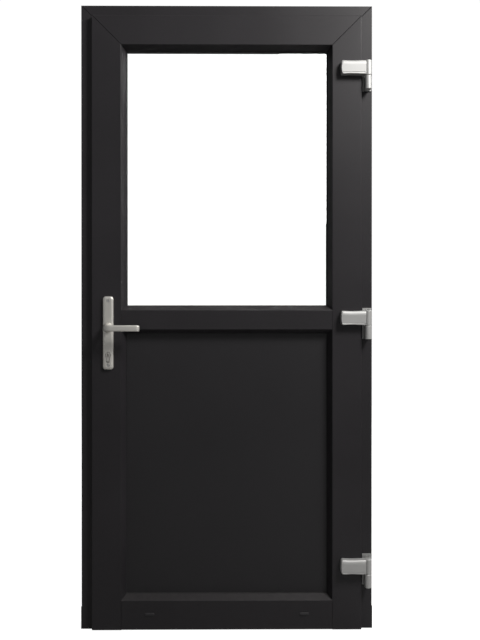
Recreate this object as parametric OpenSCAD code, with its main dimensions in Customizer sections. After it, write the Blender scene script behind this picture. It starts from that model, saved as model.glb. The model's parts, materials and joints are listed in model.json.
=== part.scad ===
// Half-glazed side door: a leaf of welded plastic profiles in its own frame,
// hung on three flag hinges and opening outwards.
// Millimetres. +X towards the hinges, +Y towards the inside of the house, +Z up.
// The origin is under the threshold, at the middle of the frame's width and depth.

/* [Frame] */
// Width of the frame
frame_w = 980; // [800:10:1200]
// Height of the frame
frame_h = 2100; // [1750:10:2600]
// Depth of the frame
frame_d = 70; // [58:1:90]
// Face of the frame left showing beside the leaf
frame_strip = 38; // [30:1:50]
// Thickness of the stop that the leaf closes against
stop_t = 14; // [11:1:18]
// How far the stop reaches behind the leaf
stop_lap = 9; // [8:1:12]
// Wall of every plastic profile
wall = 3; // [2:0.25:4]

/* [Threshold] */
// Height of the threshold
threshold_h = 20; // [17:1:30]
// Wall of the threshold
threshold_wall = 2; // [1.5:0.25:3]
// Air gap between the threshold and the leaf
under_gap = 4; // [3:0.5:6]
// Height of the block at each foot of the frame
end_block_h = 74; // [50:1:100]
// Thickness of that block
end_block_t = 1.6; // [1:0.1:3]

/* [Leaf] */
// How far the leaf stands proud of the frame
leaf_proud = 18; // [14:1:24]
// Width of the leaf's face, on the stiles and the top and bottom rails
face_w = 98; // [88:1:125]
// How far the leaf laps over the frame
lap = 8; // [6:1:10]
// Air gap between the frame and the leaf's body
rebate_gap = 12; // [11:0.5:14]
// Air gap that each rubber seal closes
seal_gap = 4; // [3:0.5:6]
// Height of the middle rail's face
mid_face_h = 64; // [56:1:90]
// Height of the middle rail's centre line
mid_z = 1043; // [900:1:1250]
// Width of the sloped edge round the glass
slope_w = 14; // [10:1:18]
// Depth of the sloped edge round the glass
slope_d = 25; // [20:1:30]
// From the face's edge out to the floor of the glazing rebate
floor_in = 7; // [4:1:10]
// Depth of the chamber behind the leaf's face
face_chamber_d = 20; // [15:1:22]
// Depth of the chamber along the leaf's inside face
back_chamber_d = 6; // [4:1:8]
// Depth of the chamber behind the frame's face
frame_chamber_d = 12; // [8:1:14]
// Depth of the groove for the lock's faceplate
groove_d = 3; // [2:0.5:4]

/* [Steel] */
// Wall of the steel tubes inside the profiles
steel_t = 2; // [1.5:0.25:3]
// Clearance round each steel tube
steel_gap = 0.5; // [0.2:0.1:0.9]

/* [Glazing] */
// Thickness of each pane
pane_t = 4; // [3:1:6]
// Width of the cavity between the panes
cavity_t = 16; // [10:1:20]
// Air gap between a pane's edge and the rebate floor
edge_gap = 5; // [4:0.5:7]
// Width of the spacer bar
spacer_w = 7; // [5:0.5:9]
// Thickness of the rubber under the sloped edge
rubber_t = 3; // [2:0.5:4]
// How far that rubber shows past the sloped edge
rubber_lip = 2.5; // [1:0.5:4]
// Width of a glazing bead
bead_w = 20; // [16:1:24]
// Length of a setting block
block_l = 100; // [60:5:120]

/* [Hinges] */
// From the frame's outer edge to the hinge axis
hinge_in = 18; // [15:0.5:20]
// How far the hinge axis stands off the leaf's face
hinge_off = 8; // [7:0.5:10]
// Radius of the hinge barrels
barrel_r = 11.75; // [11:0.25:12]
// Radius of the hinge pins
pin_r = 4.5; // [4:0.25:5]
// Height of the lower barrel
barrel_low_h = 46; // [40:1:60]
// Height of the upper barrel
barrel_high_h = 50; // [50:1:60]
// Length of the flag on the leaf
flag_l = 87; // [80:1:100]
// Height of the flag
flag_h = 47; // [44:1:48]
// Depth of the flag's cover
flag_d = 22; // [20:1:24]
// Height of the lowest hinge's joint line
hinge_low_z = 195; // [150:1:350]
// Height of the middle hinge's joint line
hinge_mid_z = 1025; // [800:1:1200]
// From the frame's top down to the highest hinge's joint line
hinge_top_in = 241; // [180:1:350]

/* [Lock and handle] */
// Height of the lever's axis
handle_z = 1018; // [950:1:1100]
// From the lock's faceplate to the lever's axis
backset = 36; // [35:1:40]
// From the lever's axis down to the key cylinder's
key_drop = 92; // [85:1:95]
// Height of the handle plates
plate_h = 245; // [235:1:260]
// Width of the handle plates
plate_w = 35; // [32:1:40]
// Thickness of the handle plates
plate_t = 10; // [8:1:14]
// Spacing of the handle's two screws
plate_screws = 215; // [208:1:220]
// From the lever's axis to its tip
lever_l = 109; // [100:1:130]
// Height of the lever's grip
lever_h = 20.6; // [16:0.2:24]
// Thickness of the lever's grip
lever_t = 14; // [12:1:18]
// How far the lever stands off its plate
lever_off = 52; // [45:1:60]
// Thickness of the lock case
case_t = 16; // [15:0.5:16]
// Throw of the deadbolt
bolt_throw = 20; // [16:1:20]
// Throw of the latch
latch_throw = 11; // [9:0.5:11]
// Height of the lower hook's pivot
hook_low_z = 500; // [400:10:700]
// Height of the upper hook's pivot
hook_high_z = 1550; // [1300:10:1600]

/* [Wall fixings] */
// Radius of the holes for the wall fixings
fix_r = 5; // [4:0.5:6]
// From the frame's top and foot to the outer fixings
fix_outer_in = 350; // [300:10:400]
// From the frame's top and foot to the inner fixings
fix_inner_in = 800; // [700:10:830]

/* [Hidden] */
$fn = 48;

// Colours
plastic = [0.16, 0.155, 0.16];
rubber = [0.05, 0.05, 0.05];
silver = [0.72, 0.71, 0.69];
steel = [0.55, 0.56, 0.58];
white = [0.88, 0.88, 0.86];
glass = [0.75, 0.85, 0.85, 0.35];

// Depth planes, from outside to inside
frame_front = -frame_d / 2;
frame_back = frame_d / 2;
leaf_front = frame_front - leaf_proud;
stop_front = frame_back - stop_t;
leaf_back = stop_front - seal_gap;
lip_back = frame_front - seal_gap;
leg_back = leaf_front + slope_d;
unit_front = leg_back + rubber_t;
unit_back = unit_front + 2 * pane_t + cavity_t;
steel_front = leaf_front + 2 * wall + face_chamber_d;
steel_back = leaf_back - 2 * wall - back_chamber_d;
frame_steel_front = frame_front + 2 * wall + frame_chamber_d;
lock_y = (steel_front + steel_back) / 2;

// Distances in from the frame's outer edge
body_in = frame_strip + lap;
sash_in = body_in + rebate_gap;
stop_in = sash_in + stop_lap;

// Distances in from the leaf's outer edge
body_off = lap + rebate_gap;
floor_off = face_w - floor_in;
leg_off = face_w + slope_w;

// The leaf's edges and the rebate floors, seen from outside
leaf_x = frame_w / 2 - frame_strip;
leaf_top = frame_h - frame_strip;
leaf_low = threshold_h + under_gap - body_off;
edge_x = leaf_x - body_off;
floor_x = leaf_x - floor_off;
open_x = leaf_x - leg_off;
mid_floor = mid_face_h / 2 - floor_in;
mid_leg = mid_face_h / 2 + slope_w;
window_low = mid_z + mid_floor;
window_high = leaf_top - floor_off;
panel_low = leaf_low + floor_off;
panel_high = mid_z - mid_floor;

// Joint left between mitred beads
bead_gap = 0.3;

// Hinges
hinge_x = frame_w / 2 - hinge_in;
hinge_y = leaf_front - hinge_off;
hinge_z = [hinge_low_z, hinge_mid_z, frame_h - hinge_top_in];
joint_gap = 0.8;
bush_r = 7;
bush_flange_r = 9.5;
run_fit = 0.05;
seat_fit = 0.02;
leaf_base_t = 6;
frame_base_t = 4;
frame_base_w = 30;
frame_base_up = 57;
hinge_screw_r = 2.4;
hinge_head_r = 4.4;
hinge_screw_l = 32;
frame_screw_up = [12, 30, 48];
flag_low = (barrel_high_h - flag_h) / 2;
flag_right = hinge_x - 6;
flag_screw_x = [18, 42];
flag_screw_z = [11, 36];
cover_wall = 2;

// Lock
lock_x = -edge_x;
handle_x = lock_x + backset;
key_z = handle_z - key_drop;
latch_z = handle_z + 28;
bolt_z = key_z + 36;
faceplate_w = 20;
faceplate_t = groove_d;
faceplate_low = hook_low_z - 60;
faceplate_high = hook_high_z + 80;
case_wall = 1.5;
case_back = backset + 24;
case_low = key_z - 41;
case_high = latch_z + 22;
pocket_gap = 0.5;
latch_h = 18;
latch_w = 12;
bolt_h = 28;
bolt_w = 12;
slide_gap = 0.4;
keep_gap = 4;
keep_t = rebate_gap - keep_gap;
keep_w = 24;
keep_pocket_d = bolt_throw - rebate_gap + 4;
hook_in = 14;
hook_l = hook_in + bolt_throw;
hook_w = 12;
hook_t = 8;
hook_boss_r = 8;
claw_room = 2;
hook_pin_r = 3;
hook_zs = [hook_low_z, hook_high_z];
hook_case_back = 38;
follower_r = 10;
spindle_w = 8;
spindle_gap = 0.1;
collar_r = 10;
collar_gap = 0.4;
key_r = 8.5;
key_tail_w = 10;
key_tail_h = 33;
key_bridge_h = 9.5;
plug_r = 6.5;
cam_r = 14.5;
cam_w = 9.6;
cam_gap = 10.6;
cam_floor = key_z + key_r - key_tail_h + key_bridge_h;
cylinder_proud = 1;
handle_screw_r = 2.5;
handle_head_r = 4;
screw_head_h = 2;
handle_screw_z = [key_z - 34.5, key_z - 34.5 + plate_screws];
handle_mid_z = key_z - 34.5 + plate_screws / 2 + 0.5;
lock_screw_r = 2;
lock_screw_l = 13;
lock_screw_z = [hook_low_z - 40, hook_low_z + 180, case_low - 30, case_high + 30,
    hook_high_z - 150, hook_high_z + 60];
cylinder_screw_z = key_z + key_r - key_tail_h + key_bridge_h / 2;
keep_screw_up = 8;
keep_screw_l = 20;

// Drain hoods on the bottom rail
drain_x = open_x - 81;
drain_z = leaf_low + 54;
drain_w = 32;
drain_h = 8;
drain_proud = 3;
drain_slot_h = 3;

// Heights of the wall fixings
fix_z = [fix_outer_in, fix_inner_in, frame_h - fix_inner_in, frame_h - fix_outer_in];

// A long way, for cuts that go right through
far = 4000;

// ---- Helpers ----

function unit(v) = v / norm(v);

// Points of one corner, rounded to radius r
function corner(a, b, c, r, n = 4) =
    r == 0 ? [b] :
    let (u = unit(a - b), v = unit(c - b), half = acos(u * v) / 2,
        p = b + u * r / tan(half), q = b + v * r / tan(half),
        m = b + unit(u + v) * r / sin(half))
    [for (i = [0 : n]) m + r * unit((p - m) * (1 - i / n) + (q - m) * i / n)];

// Outline with rounded corners, from points that hold [x, y, radius]
function outline(pts) = let (n = len(pts))
    [for (i = [0 : n - 1])
        let (a = pts[(i + n - 1) % n], b = pts[i], c = pts[(i + 1) % n])
        each corner([a[0], a[1]], [b[0], b[1]], [c[0], c[1]], b[2])];

// Box between two corners
module span(a, b) {
    translate(a) cube(b - a);
}

// Flat rectangle between two corners
module patch(a, b) {
    translate(a) square(b - a);
}

// Plate in the plane of the door, from an outline in X and Z, between two depths
module slab(y0, y1) {
    translate([0, y1, 0]) rotate([90, 0, 0]) linear_extrude(y1 - y0) children();
}

// Rectangular ring in the plane of the door
module ring(outer_a, outer_b, inner_a, inner_b, y0, y1) {
    slab(y0, y1) difference() {
        patch(outer_a, outer_b);
        patch(inner_a, inner_b);
    }
}

// Round hole or pin along the depth
module along_y(x, z, r, y0, y1) {
    translate([x, y1, z]) rotate([90, 0, 0]) cylinder(r = r, h = y1 - y0);
}

// Round hole or pin along the width
module along_x(y, z, r, x0, x1) {
    translate([x0, y, z]) rotate([0, 90, 0]) cylinder(r = r, h = x1 - x0);
}

// Both sides of the door, from the lock side's shape
module both_sides() {
    children();
    mirror([1, 0, 0]) children();
}

// Keeps what lies inside an outline in X and Z
module within(points) {
    intersection() {
        children();
        slab(-far / 2, far / 2) polygon(points);
    }
}

// ---- Profiles, as sections across the depth ----

// Section of the frame, measured in from its outer edge
module frame_section_filled() {
    polygon(outline([[0, frame_front, 1.5], [body_in, frame_front, 1.5],
        [body_in, stop_front, 0], [stop_in, stop_front, 0.5],
        [stop_in, frame_back, 1.5], [0, frame_back, 1.5]]));
}

module frame_section() {
    difference() {
        frame_section_filled();
        patch([wall, frame_front + wall], [body_in - wall, frame_steel_front - wall]);
        patch([wall, frame_steel_front], [body_in - wall, stop_front - wall]);
        patch([wall, stop_front + wall], [stop_in - wall, frame_back - wall]);
    }
}

module frame_steel_section() {
    tube_section([wall, frame_steel_front], [body_in - wall, stop_front - wall]);
}

// Steel tube that fits a chamber
module tube_section(a, b) {
    g = [steel_gap, steel_gap];
    t = [steel_t, steel_t];
    difference() {
        patch(a + g, b - g);
        patch(a + g + t, b - g - t);
    }
}

// Section of the leaf's stiles and outer rails, measured in from the leaf's edge
module sash_section_filled() {
    polygon(outline([[0, leaf_front, 2.5], [face_w, leaf_front, 1.5],
        [leg_off, leg_back, 0], [floor_off, leg_back, 0], [floor_off, leaf_back, 1],
        [body_off, leaf_back, 1.5], [body_off, lip_back, 0], [0, lip_back, 1]]));
}

module sash_section() {
    difference() {
        sash_section_filled();
        patch([wall, leaf_front + wall], [body_off - wall, lip_back - wall]);
        patch([body_off, leaf_front + wall], [face_w - wall, steel_front - wall]);
        patch([body_off + wall + groove_d, steel_front], [floor_off - wall, steel_back]);
        patch([body_off + wall, steel_back + wall], [floor_off - wall, leaf_back - wall]);
    }
}

module sash_steel_section() {
    tube_section([body_off + wall + groove_d, steel_front], [floor_off - wall, steel_back]);
}

// Section of the middle rail, measured from its centre line
module mid_section() {
    h = mid_face_h / 2;
    difference() {
        polygon(outline([[-h, leaf_front, 1.5], [h, leaf_front, 1.5],
            [mid_leg, leg_back, 0], [mid_floor, leg_back, 0], [mid_floor, leaf_back, 1],
            [-mid_floor, leaf_back, 1], [-mid_floor, leg_back, 0], [-mid_leg, leg_back, 0]]));
        patch([wall - h, leaf_front + wall], [h - wall, steel_front - wall]);
        patch([wall - mid_floor, steel_front], [mid_floor - wall, steel_back]);
        patch([wall - mid_floor, steel_back + wall], [mid_floor - wall, leaf_back - wall]);
    }
}

module mid_steel_section() {
    tube_section([wall - mid_floor, steel_front], [mid_floor - wall, steel_back]);
}

// A section stood upright on the lock side, its outer edge at x, between two heights
module upright(x, z0, z1) {
    translate([x, 0, z0]) linear_extrude(z1 - z0) children();
}

// A section laid level with its outer edge on top, at height z
module level_top(half, z) {
    translate([-half, 0, z]) rotate([0, 90, 0]) linear_extrude(2 * half) children();
}

// A section laid level with its outer edge below, at height z
module level_low(half, z) {
    translate([half, 0, z]) rotate([0, -90, 0]) linear_extrude(2 * half) children();
}

// Outline of an upright with a mitre at its top, seen from outside
function upright_shape(x, w, z0, z1) = [[x, z0], [x, z1], [x + w, z1 - w], [x + w, z0]];

// Outline of a level piece with a mitre at each end
function top_shape(x, w, z) = [[-x, z], [x, z], [x - w, z - w], [w - x, z - w]];

// ---- Frame ----

module fixing_holes() {
    for (z = fix_z) along_x(0, z, fix_r, -far / 2, 0);
}

// Room in the lock-side jamb for the bolts
module keep_pockets() {
    x = -frame_w / 2 + body_in;
    for (s = keep_slots())
        span([x - keep_pocket_d, lock_y - s[2], s[0] - claw_room], [x + 1, lock_y + s[2], s[1]]);
}

// Slots of the keeps: lowest point, highest point and half the width
function keep_slots() = concat(
    [[latch_z - latch_h / 2 - 1.4, latch_z + latch_h / 2 + 1.4, latch_w / 2 + 1.4],
        [bolt_z - bolt_h / 2 - 1.4, bolt_z + bolt_h / 2 + 1.4, bolt_w / 2 + 1.4]],
    [for (z = hook_zs) [z - hook_boss_r - 0.6, z + hook_l - 4, hook_t / 2 + 1.4]]);

module hinge_frame_holes() {
    for (z = hinge_z, up = frame_screw_up)
        along_y(hinge_x, z + up, hinge_screw_r + run_fit, frame_front - 1,
            frame_front + hinge_screw_l);
}

module keep_screw_holes() {
    for (z = keep_screw_zs())
        along_x(lock_y, z, lock_screw_r + run_fit, -frame_w / 2 + body_in - keep_screw_l,
            -frame_w / 2 + body_in + 1);
}

module threshold_screw_holes() {
    both_sides() for (y = threshold_screw_ys())
        along_x(y, threshold_h / 2, lock_screw_r + run_fit,
            -frame_w / 2 - 1, -frame_w / 2 + body_in + 40);
}

function threshold_screw_ys() = [frame_front + 18, frame_back - 22];

module jamb_blank() {
    within(upright_shape(-frame_w / 2, stop_in, 0, frame_h))
        upright(-frame_w / 2, 0, frame_h) frame_section();
}

module frame_jamb_lock() {
    color(plastic) difference() {
        jamb_blank();
        fixing_holes();
        keep_pockets();
        keep_screw_holes();
        threshold_screw_holes();
    }
}

module frame_jamb_hinge() {
    color(plastic) difference() {
        mirror([1, 0, 0]) difference() {
            jamb_blank();
            fixing_holes();
        }
        hinge_frame_holes();
        threshold_screw_holes();
    }
}

module frame_head() {
    color(plastic) within(top_shape(frame_w / 2, stop_in, frame_h))
        level_top(frame_w / 2, frame_h) frame_section();
}

// Square-ended steel tubes, short of the mitres
module frame_steels() {
    short = body_in + 10;
    color(steel) {
        difference() {
            both_sides() upright(-frame_w / 2, threshold_h + 5, frame_h - short)
                frame_steel_section();
            both_sides() fixing_holes();
            keep_pockets();
            keep_screw_holes();
            hinge_frame_holes();
        }
        level_top(frame_w / 2 - short, frame_h) frame_steel_section();
    }
}

module threshold() {
    t = threshold_wall;
    third = (frame_d - 4 * t) / 3;
    color(silver) difference() {
        span([-frame_w / 2 + 1, frame_front, 0], [frame_w / 2 - 1, frame_back, threshold_h]);
        for (i = [0 : 2]) {
            y = frame_front + t + i * (third + t);
            span([-far / 2, y, t], [far / 2, y + third, threshold_h - t]);
        }
        both_sides() upright(-frame_w / 2 - 1, -1, threshold_h + 1)
            translate([1, 0]) frame_section_filled();
        both_sides() upright(-frame_w / 2 - 1, -1, threshold_h + 1)
            patch([0, frame_front - 1], [body_in + 1, frame_back + 1]);
        both_sides() upright(-frame_w / 2, -1, threshold_h + 1)
            patch([0, stop_front], [stop_in, frame_back + 1]);
        threshold_screw_holes();
    }
}

module threshold_end_blocks() {
    color(plastic) both_sides() difference() {
        span([-frame_w / 2 - end_block_t, frame_front, 0],
            [-frame_w / 2, frame_back, end_block_h]);
        for (y = threshold_screw_ys())
            along_x(y, threshold_h / 2, lock_screw_r + run_fit, -far / 2, 0);
    }
}

module threshold_screws() {
    color(steel) both_sides() for (y = threshold_screw_ys())
        along_x(y, threshold_h / 2, lock_screw_r, -frame_w / 2 - end_block_t,
            -frame_w / 2 + body_in + 30);
}

// Rubber on the stop, up both jambs and across the head
module frame_gasket() {
    a = sash_in + 1.5;
    b = stop_in - 1.5;
    x = frame_w / 2;
    color(rubber) slab(leaf_back + 0.3, stop_front) difference() {
        patch([a - x, threshold_h], [x - a, frame_h - a]);
        patch([b - x, threshold_h - 1], [x - b, frame_h - b]);
    }
}

// Lowest and highest point of each keep
function keep_spans() = concat(
    [[bolt_z - bolt_h / 2 - 16, latch_z + latch_h / 2 + 16]],
    [for (z = hook_zs) [z - hook_boss_r - 14, z + hook_l + 10]]);

function keep_screw_zs() = [for (s = keep_spans()) each [s[0] + keep_screw_up, s[1] - keep_screw_up]];

module keep_blocks() {
    x = -frame_w / 2 + body_in;
    color(silver) difference() {
        for (s = keep_spans())
            span([x, lock_y - keep_w / 2, s[0]], [x + keep_t, lock_y + keep_w / 2, s[1]]);
        for (s = keep_slots())
            span([x - 1, lock_y - s[2], s[0]], [x + keep_t + 1, lock_y + s[2], s[1]]);
        for (z = keep_screw_zs()) {
            along_x(lock_y, z, lock_screw_r + run_fit, x - 1, x + keep_t + 1);
            along_x(lock_y, z, handle_head_r + run_fit, x + keep_t - screw_head_h, x + keep_t + 1);
        }
    }
}

// Screw along the width, its flat head at x and its shank towards -X
module screw_x(y, z, x, l) {
    along_x(y, z, lock_screw_r, x - l, x - screw_head_h);
    along_x(y, z, handle_head_r, x - screw_head_h, x);
}

module keep_screws() {
    x = -frame_w / 2 + body_in + keep_t;
    color(steel) for (z = keep_screw_zs()) screw_x(lock_y, z, x, keep_screw_l);
}

// ---- Hinges ----

// Barrel with softly rounded ends, its axis through the origin
module barrel(z0, z1, r) {
    translate([0, 0, z0]) rotate_extrude()
        polygon(outline([[0, 0, 0], [r, 0, 2], [r, z1 - z0, 2], [0, z1 - z0, 0]]));
}

module at_hinge(z) {
    translate([hinge_x, hinge_y, z]) children();
}

module hinge_frame_leaf(z) {
    back = frame_front - hinge_y;
    color(silver) difference() {
        union() {
            at_hinge(z) barrel(-barrel_low_h, -joint_gap / 2, barrel_r);
            at_hinge(z) span([-9, 0, 2 - barrel_low_h], [9, back - frame_base_t + 0.5, -2]);
            at_hinge(z) span([-frame_base_w / 2, back - frame_base_t, -barrel_low_h],
                [frame_base_w / 2, back, frame_base_up]);
        }
        at_hinge(z) translate([0, 0, 6 - barrel_low_h])
            cylinder(r = pin_r + seat_fit, h = barrel_low_h);
        for (up = frame_screw_up) {
            along_y(hinge_x, z + up, hinge_screw_r + run_fit, frame_front - 9, frame_front + 1);
            along_y(hinge_x, z + up, hinge_head_r + run_fit, frame_front - 9,
                frame_front - frame_base_t + screw_head_h);
        }
    }
}

module hinge_pin(z) {
    color(steel) at_hinge(z) translate([0, 0, 6 - barrel_low_h])
        cylinder(r = pin_r, h = barrel_low_h + barrel_high_h - 12);
}

module hinge_frame_screws() {
    y = frame_front - frame_base_t;
    color(steel) for (z = hinge_z, up = frame_screw_up) {
        along_y(hinge_x, z + up, hinge_head_r, y, y + screw_head_h);
        along_y(hinge_x, z + up, hinge_screw_r, y + screw_head_h, y + hinge_screw_l);
    }
}

module hinge_sash_leaf(z) {
    left = flag_right - flag_l + cover_wall + 2;
    color(silver) difference() {
        union() {
            at_hinge(z) barrel(joint_gap / 2, barrel_high_h, barrel_r);
            span([left, leaf_front - leaf_base_t, z + flag_low + cover_wall + 1],
                [leaf_x - 4, leaf_front, z + flag_low + flag_h - cover_wall - 1]);
            span([leaf_x - 30, hinge_y - 6, z + flag_low + cover_wall + 1],
                [hinge_x, leaf_front - 3, z + flag_low + flag_h - cover_wall - 1]);
        }
        at_hinge(z) translate([0, 0, -1]) cylinder(r = bush_r, h = barrel_high_h - 4);
        for (x = flag_screw_x, up = flag_screw_z)
            at_flag_screw(z, x, up) {
                along_y(0, 0, hinge_screw_r + run_fit, -9, 9);
                along_y(0, 0, hinge_head_r + run_fit, -9, screw_head_h);
            }
    }
}

// Stands its children where a flag screw enters the hinge's plate
module at_flag_screw(z, x, up) {
    translate([flag_right - flag_l + x, leaf_front - leaf_base_t, z + flag_low + up])
        children();
}

module hinge_flag_holes() {
    for (z = hinge_z, x = flag_screw_x, up = flag_screw_z)
        at_flag_screw(z, x, up)
            along_y(0, 0, hinge_screw_r + run_fit, 0, hinge_screw_l + 12);
}

module hinge_sash_screws() {
    color(steel) for (z = hinge_z, x = flag_screw_x, up = flag_screw_z)
        at_flag_screw(z, x, up) {
            along_y(0, 0, hinge_head_r, 0, screw_head_h);
            along_y(0, 0, hinge_screw_r, screw_head_h, hinge_screw_l);
        }
}

module hinge_bushes() {
    color(white) for (z = hinge_z) at_hinge(z) difference() {
        union() {
            cylinder(r = bush_r - seat_fit, h = barrel_high_h - 5.2);
            translate([0, 0, -joint_gap / 2 + 0.1])
                cylinder(r = bush_flange_r, h = joint_gap - 0.1);
        }
        translate([0, 0, -2]) cylinder(r = pin_r + run_fit, h = barrel_high_h + 4);
    }
}

// Snap-on cover: a shell over the leaf's plate, open at the barrel
module hinge_cover(z) {
    left = flag_right - flag_l;
    low = z + flag_low;
    high = low + flag_h;
    front = leaf_front - flag_d;
    w = cover_wall;
    color(silver) difference() {
        translate([0, 0, low]) linear_extrude(flag_h)
            polygon(outline([[left, leaf_front, 0], [left, front, 5],
                [flag_right, front, 2], [flag_right, leaf_front, 0]]));
        translate([0, 0, low + w]) linear_extrude(flag_h - 2 * w)
            polygon(outline([[left + w, leaf_front + 1, 0], [left + w, front + w, 3],
                [flag_right + 1, front + w, 0], [flag_right + 1, leaf_front + 1, 0]]));
        at_hinge(z - 10) cylinder(r = barrel_r + 0.15, h = barrel_high_h + 20);
        span([leaf_x - 1, hinge_y, low - 1], [hinge_x, leaf_front + 1, high + 1]);
    }
}

// ---- Leaf ----

// Room under the leaf's body for the threshold, behind the lip
module threshold_room() {
    span([-far / 2, lip_back, -1], [far / 2, far / 2, leaf_low + body_off]);
}

module stile_blank() {
    difference() {
        within(upright_shape(-leaf_x, leg_off, leaf_low, leaf_top))
            upright(-leaf_x, leaf_low, leaf_top) sash_section();
        threshold_room();
    }
}

// Outline of the key cylinder, in X and Z, with a clearance all round
module key_outline(gap) {
    translate([handle_x, key_z]) {
        circle(r = key_r + gap);
        translate([-key_tail_w / 2 - gap, key_r + key_tail_w / 2 - key_tail_h])
            square([key_tail_w + 2 * gap, key_tail_h - key_r - key_tail_w / 2]);
        translate([0, key_r + key_tail_w / 2 - key_tail_h]) circle(r = key_tail_w / 2 + gap);
    }
}

// Everything that is cut into the lock-side stile and its steel
module lock_cuts() {
    g = pocket_gap;
    y0 = lock_y - case_t / 2 - g;
    y1 = lock_y + case_t / 2 + g;
    span([lock_x - 1, y0, case_low - g], [lock_x + case_back + g, y1, case_high + g]);
    for (z = hook_zs)
        span([lock_x - 1, y0, z - hook_boss_r - 8 - g],
            [lock_x + hook_case_back + g, y1, z + hook_l + 6 + g]);
    slab(leaf_front - 1, leaf_back + 1) key_outline(1);
    along_y(handle_x, handle_z, collar_r + 1, leaf_front - 1, leaf_back + 1);
    for (z = handle_screw_z)
        along_y(handle_x, z, handle_screw_r + 0.5, leaf_front - 1, leaf_back + 1);
    for (z = lock_screw_z)
        along_x(lock_y, z, lock_screw_r + run_fit, lock_x - 1, lock_x + lock_screw_l + 1);
}

module faceplate_groove() {
    y = faceplate_w / 2 + 0.2;
    span([lock_x - 1, lock_y - y, faceplate_low - 0.2],
        [lock_x + groove_d, lock_y + y, faceplate_high + 0.2]);
}

module sash_stile_lock() {
    color(plastic) difference() {
        stile_blank();
        faceplate_groove();
        lock_cuts();
    }
}

module sash_stile_hinge() {
    color(plastic) difference() {
        mirror([1, 0, 0]) stile_blank();
        hinge_flag_holes();
    }
}

module sash_rail_top() {
    color(plastic) within(top_shape(leaf_x, leg_off, leaf_top))
        level_top(leaf_x, leaf_top) sash_section();
}

// Ends of a rail are shaped to sit against the stiles
module scribe_ends() {
    difference() {
        children();
        both_sides() upright(-leaf_x, leaf_low - 1, leaf_top) sash_section_filled();
    }
}

module sash_rail_middle() {
    color(plastic) scribe_ends()
        level_low(floor_x, mid_z) mid_section();
}

module sash_rail_bottom() {
    color(plastic) difference() {
        scribe_ends() level_low(floor_x, leaf_low) sash_section();
        threshold_room();
        both_sides() translate([drain_x, 0, drain_z])
            span([3 - drain_w / 2, leaf_front - 1, -drain_slot_h / 2],
                [drain_w / 2 - 3, leaf_front + wall + 1, drain_slot_h / 2]);
    }
}

// Hoods over the drain slots
module drain_covers() {
    color(plastic) both_sides() translate([drain_x, leaf_front, drain_z]) difference() {
        span([-drain_w / 2, -drain_proud, -drain_h / 2], [drain_w / 2, 0, drain_h / 2]);
        span([2 - drain_w / 2, 1.2 - drain_proud, -drain_h / 2 - 1],
            [drain_w / 2 - 2, 1, drain_h / 2 - 2]);
    }
}

module sash_steels() {
    short = floor_off + 10;
    color(steel) {
        difference() {
            both_sides() upright(-leaf_x, leaf_low + body_off + 2, leaf_top - short)
                sash_steel_section();
            lock_cuts();
            hinge_flag_holes();
        }
        level_top(leaf_x - short, leaf_top) sash_steel_section();
        level_low(floor_x - 2, leaf_low) sash_steel_section();
        level_low(floor_x - 2, mid_z) mid_steel_section();
    }
}

// Rubber on the back of the lip, all round the leaf
module sash_gasket() {
    a = 2;
    b = lap - 1;
    color(rubber) ring([a - leaf_x, leaf_low + a], [leaf_x - a, leaf_top - a],
        [b - leaf_x, leaf_low + b], [leaf_x - b, leaf_top - b], lip_back, frame_front - 0.3);
}

module bottom_seal() {
    z = leaf_low + body_off;
    color(rubber) span([1 - edge_x, lock_y - 5, z - under_gap + 0.4], [edge_x - 1, lock_y + 5, z]);
}

// ---- Glazing ----

// A pane or panel that stands clear of the rebate floors
module filling(z0, z1, y0, y1) {
    x = floor_x - edge_gap;
    span([-x, y0, z0 + edge_gap], [x, y1, z1 - edge_gap]);
}

module glass_pane_outside() {
    color(glass) filling(window_low, window_high, unit_front, unit_front + pane_t);
}

module glass_pane_inside() {
    color(glass) filling(window_low, window_high, unit_back - pane_t, unit_back);
}

module glass_spacer() {
    a = edge_gap + 4;
    b = a + spacer_w;
    color(steel) ring([a - floor_x, window_low + a], [floor_x - a, window_high - a],
        [b - floor_x, window_low + b], [floor_x - b, window_high - b],
        unit_front + pane_t, unit_back - pane_t);
}

module infill_panel() {
    color(plastic) filling(panel_low, panel_high, unit_front, unit_back);
}

// Blocks that centre a pane or panel in its rebate
module blocks(z0, z1) {
    quarter = floor_x / 2;
    for (x = [-quarter, quarter]) {
        span([x - block_l / 2, unit_front, z0], [x + block_l / 2, unit_back, z0 + edge_gap]);
        span([x - block_l / 2, unit_front, z1 - edge_gap], [x + block_l / 2, unit_back, z1]);
    }
    for (z = [z0 + block_l, z1 - block_l])
        both_sides() span([-floor_x, unit_front, z - block_l / 2],
            [edge_gap - floor_x, unit_back, z + block_l / 2]);
}

module glazing_blocks() {
    color(white) {
        blocks(window_low, window_high);
        blocks(panel_low, panel_high);
    }
}

// Rubber between the sloped edge and what it holds
module gasket_loop(z0, z1) {
    o = 8;
    leg = leg_off - floor_off;
    b = leg + rubber_lip;
    ring([o - floor_x, z0 + o], [floor_x - o, z1 - o],
        [b - floor_x, z0 + b], [floor_x - b, z1 - b], leg_back, unit_front);
}

module glazing_gaskets() {
    color(rubber) {
        gasket_loop(window_low, window_high);
        gasket_loop(panel_low, panel_high);
    }
}

// Section of a bead, measured in from the rebate floor
module bead_section() {
    polygon(outline([[0, unit_back, 0], [bead_w, unit_back, 0],
        [bead_w, unit_back + 5, 1.5], [bead_w - 9, leaf_back, 1.5], [0, leaf_back, 0]]));
}

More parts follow.
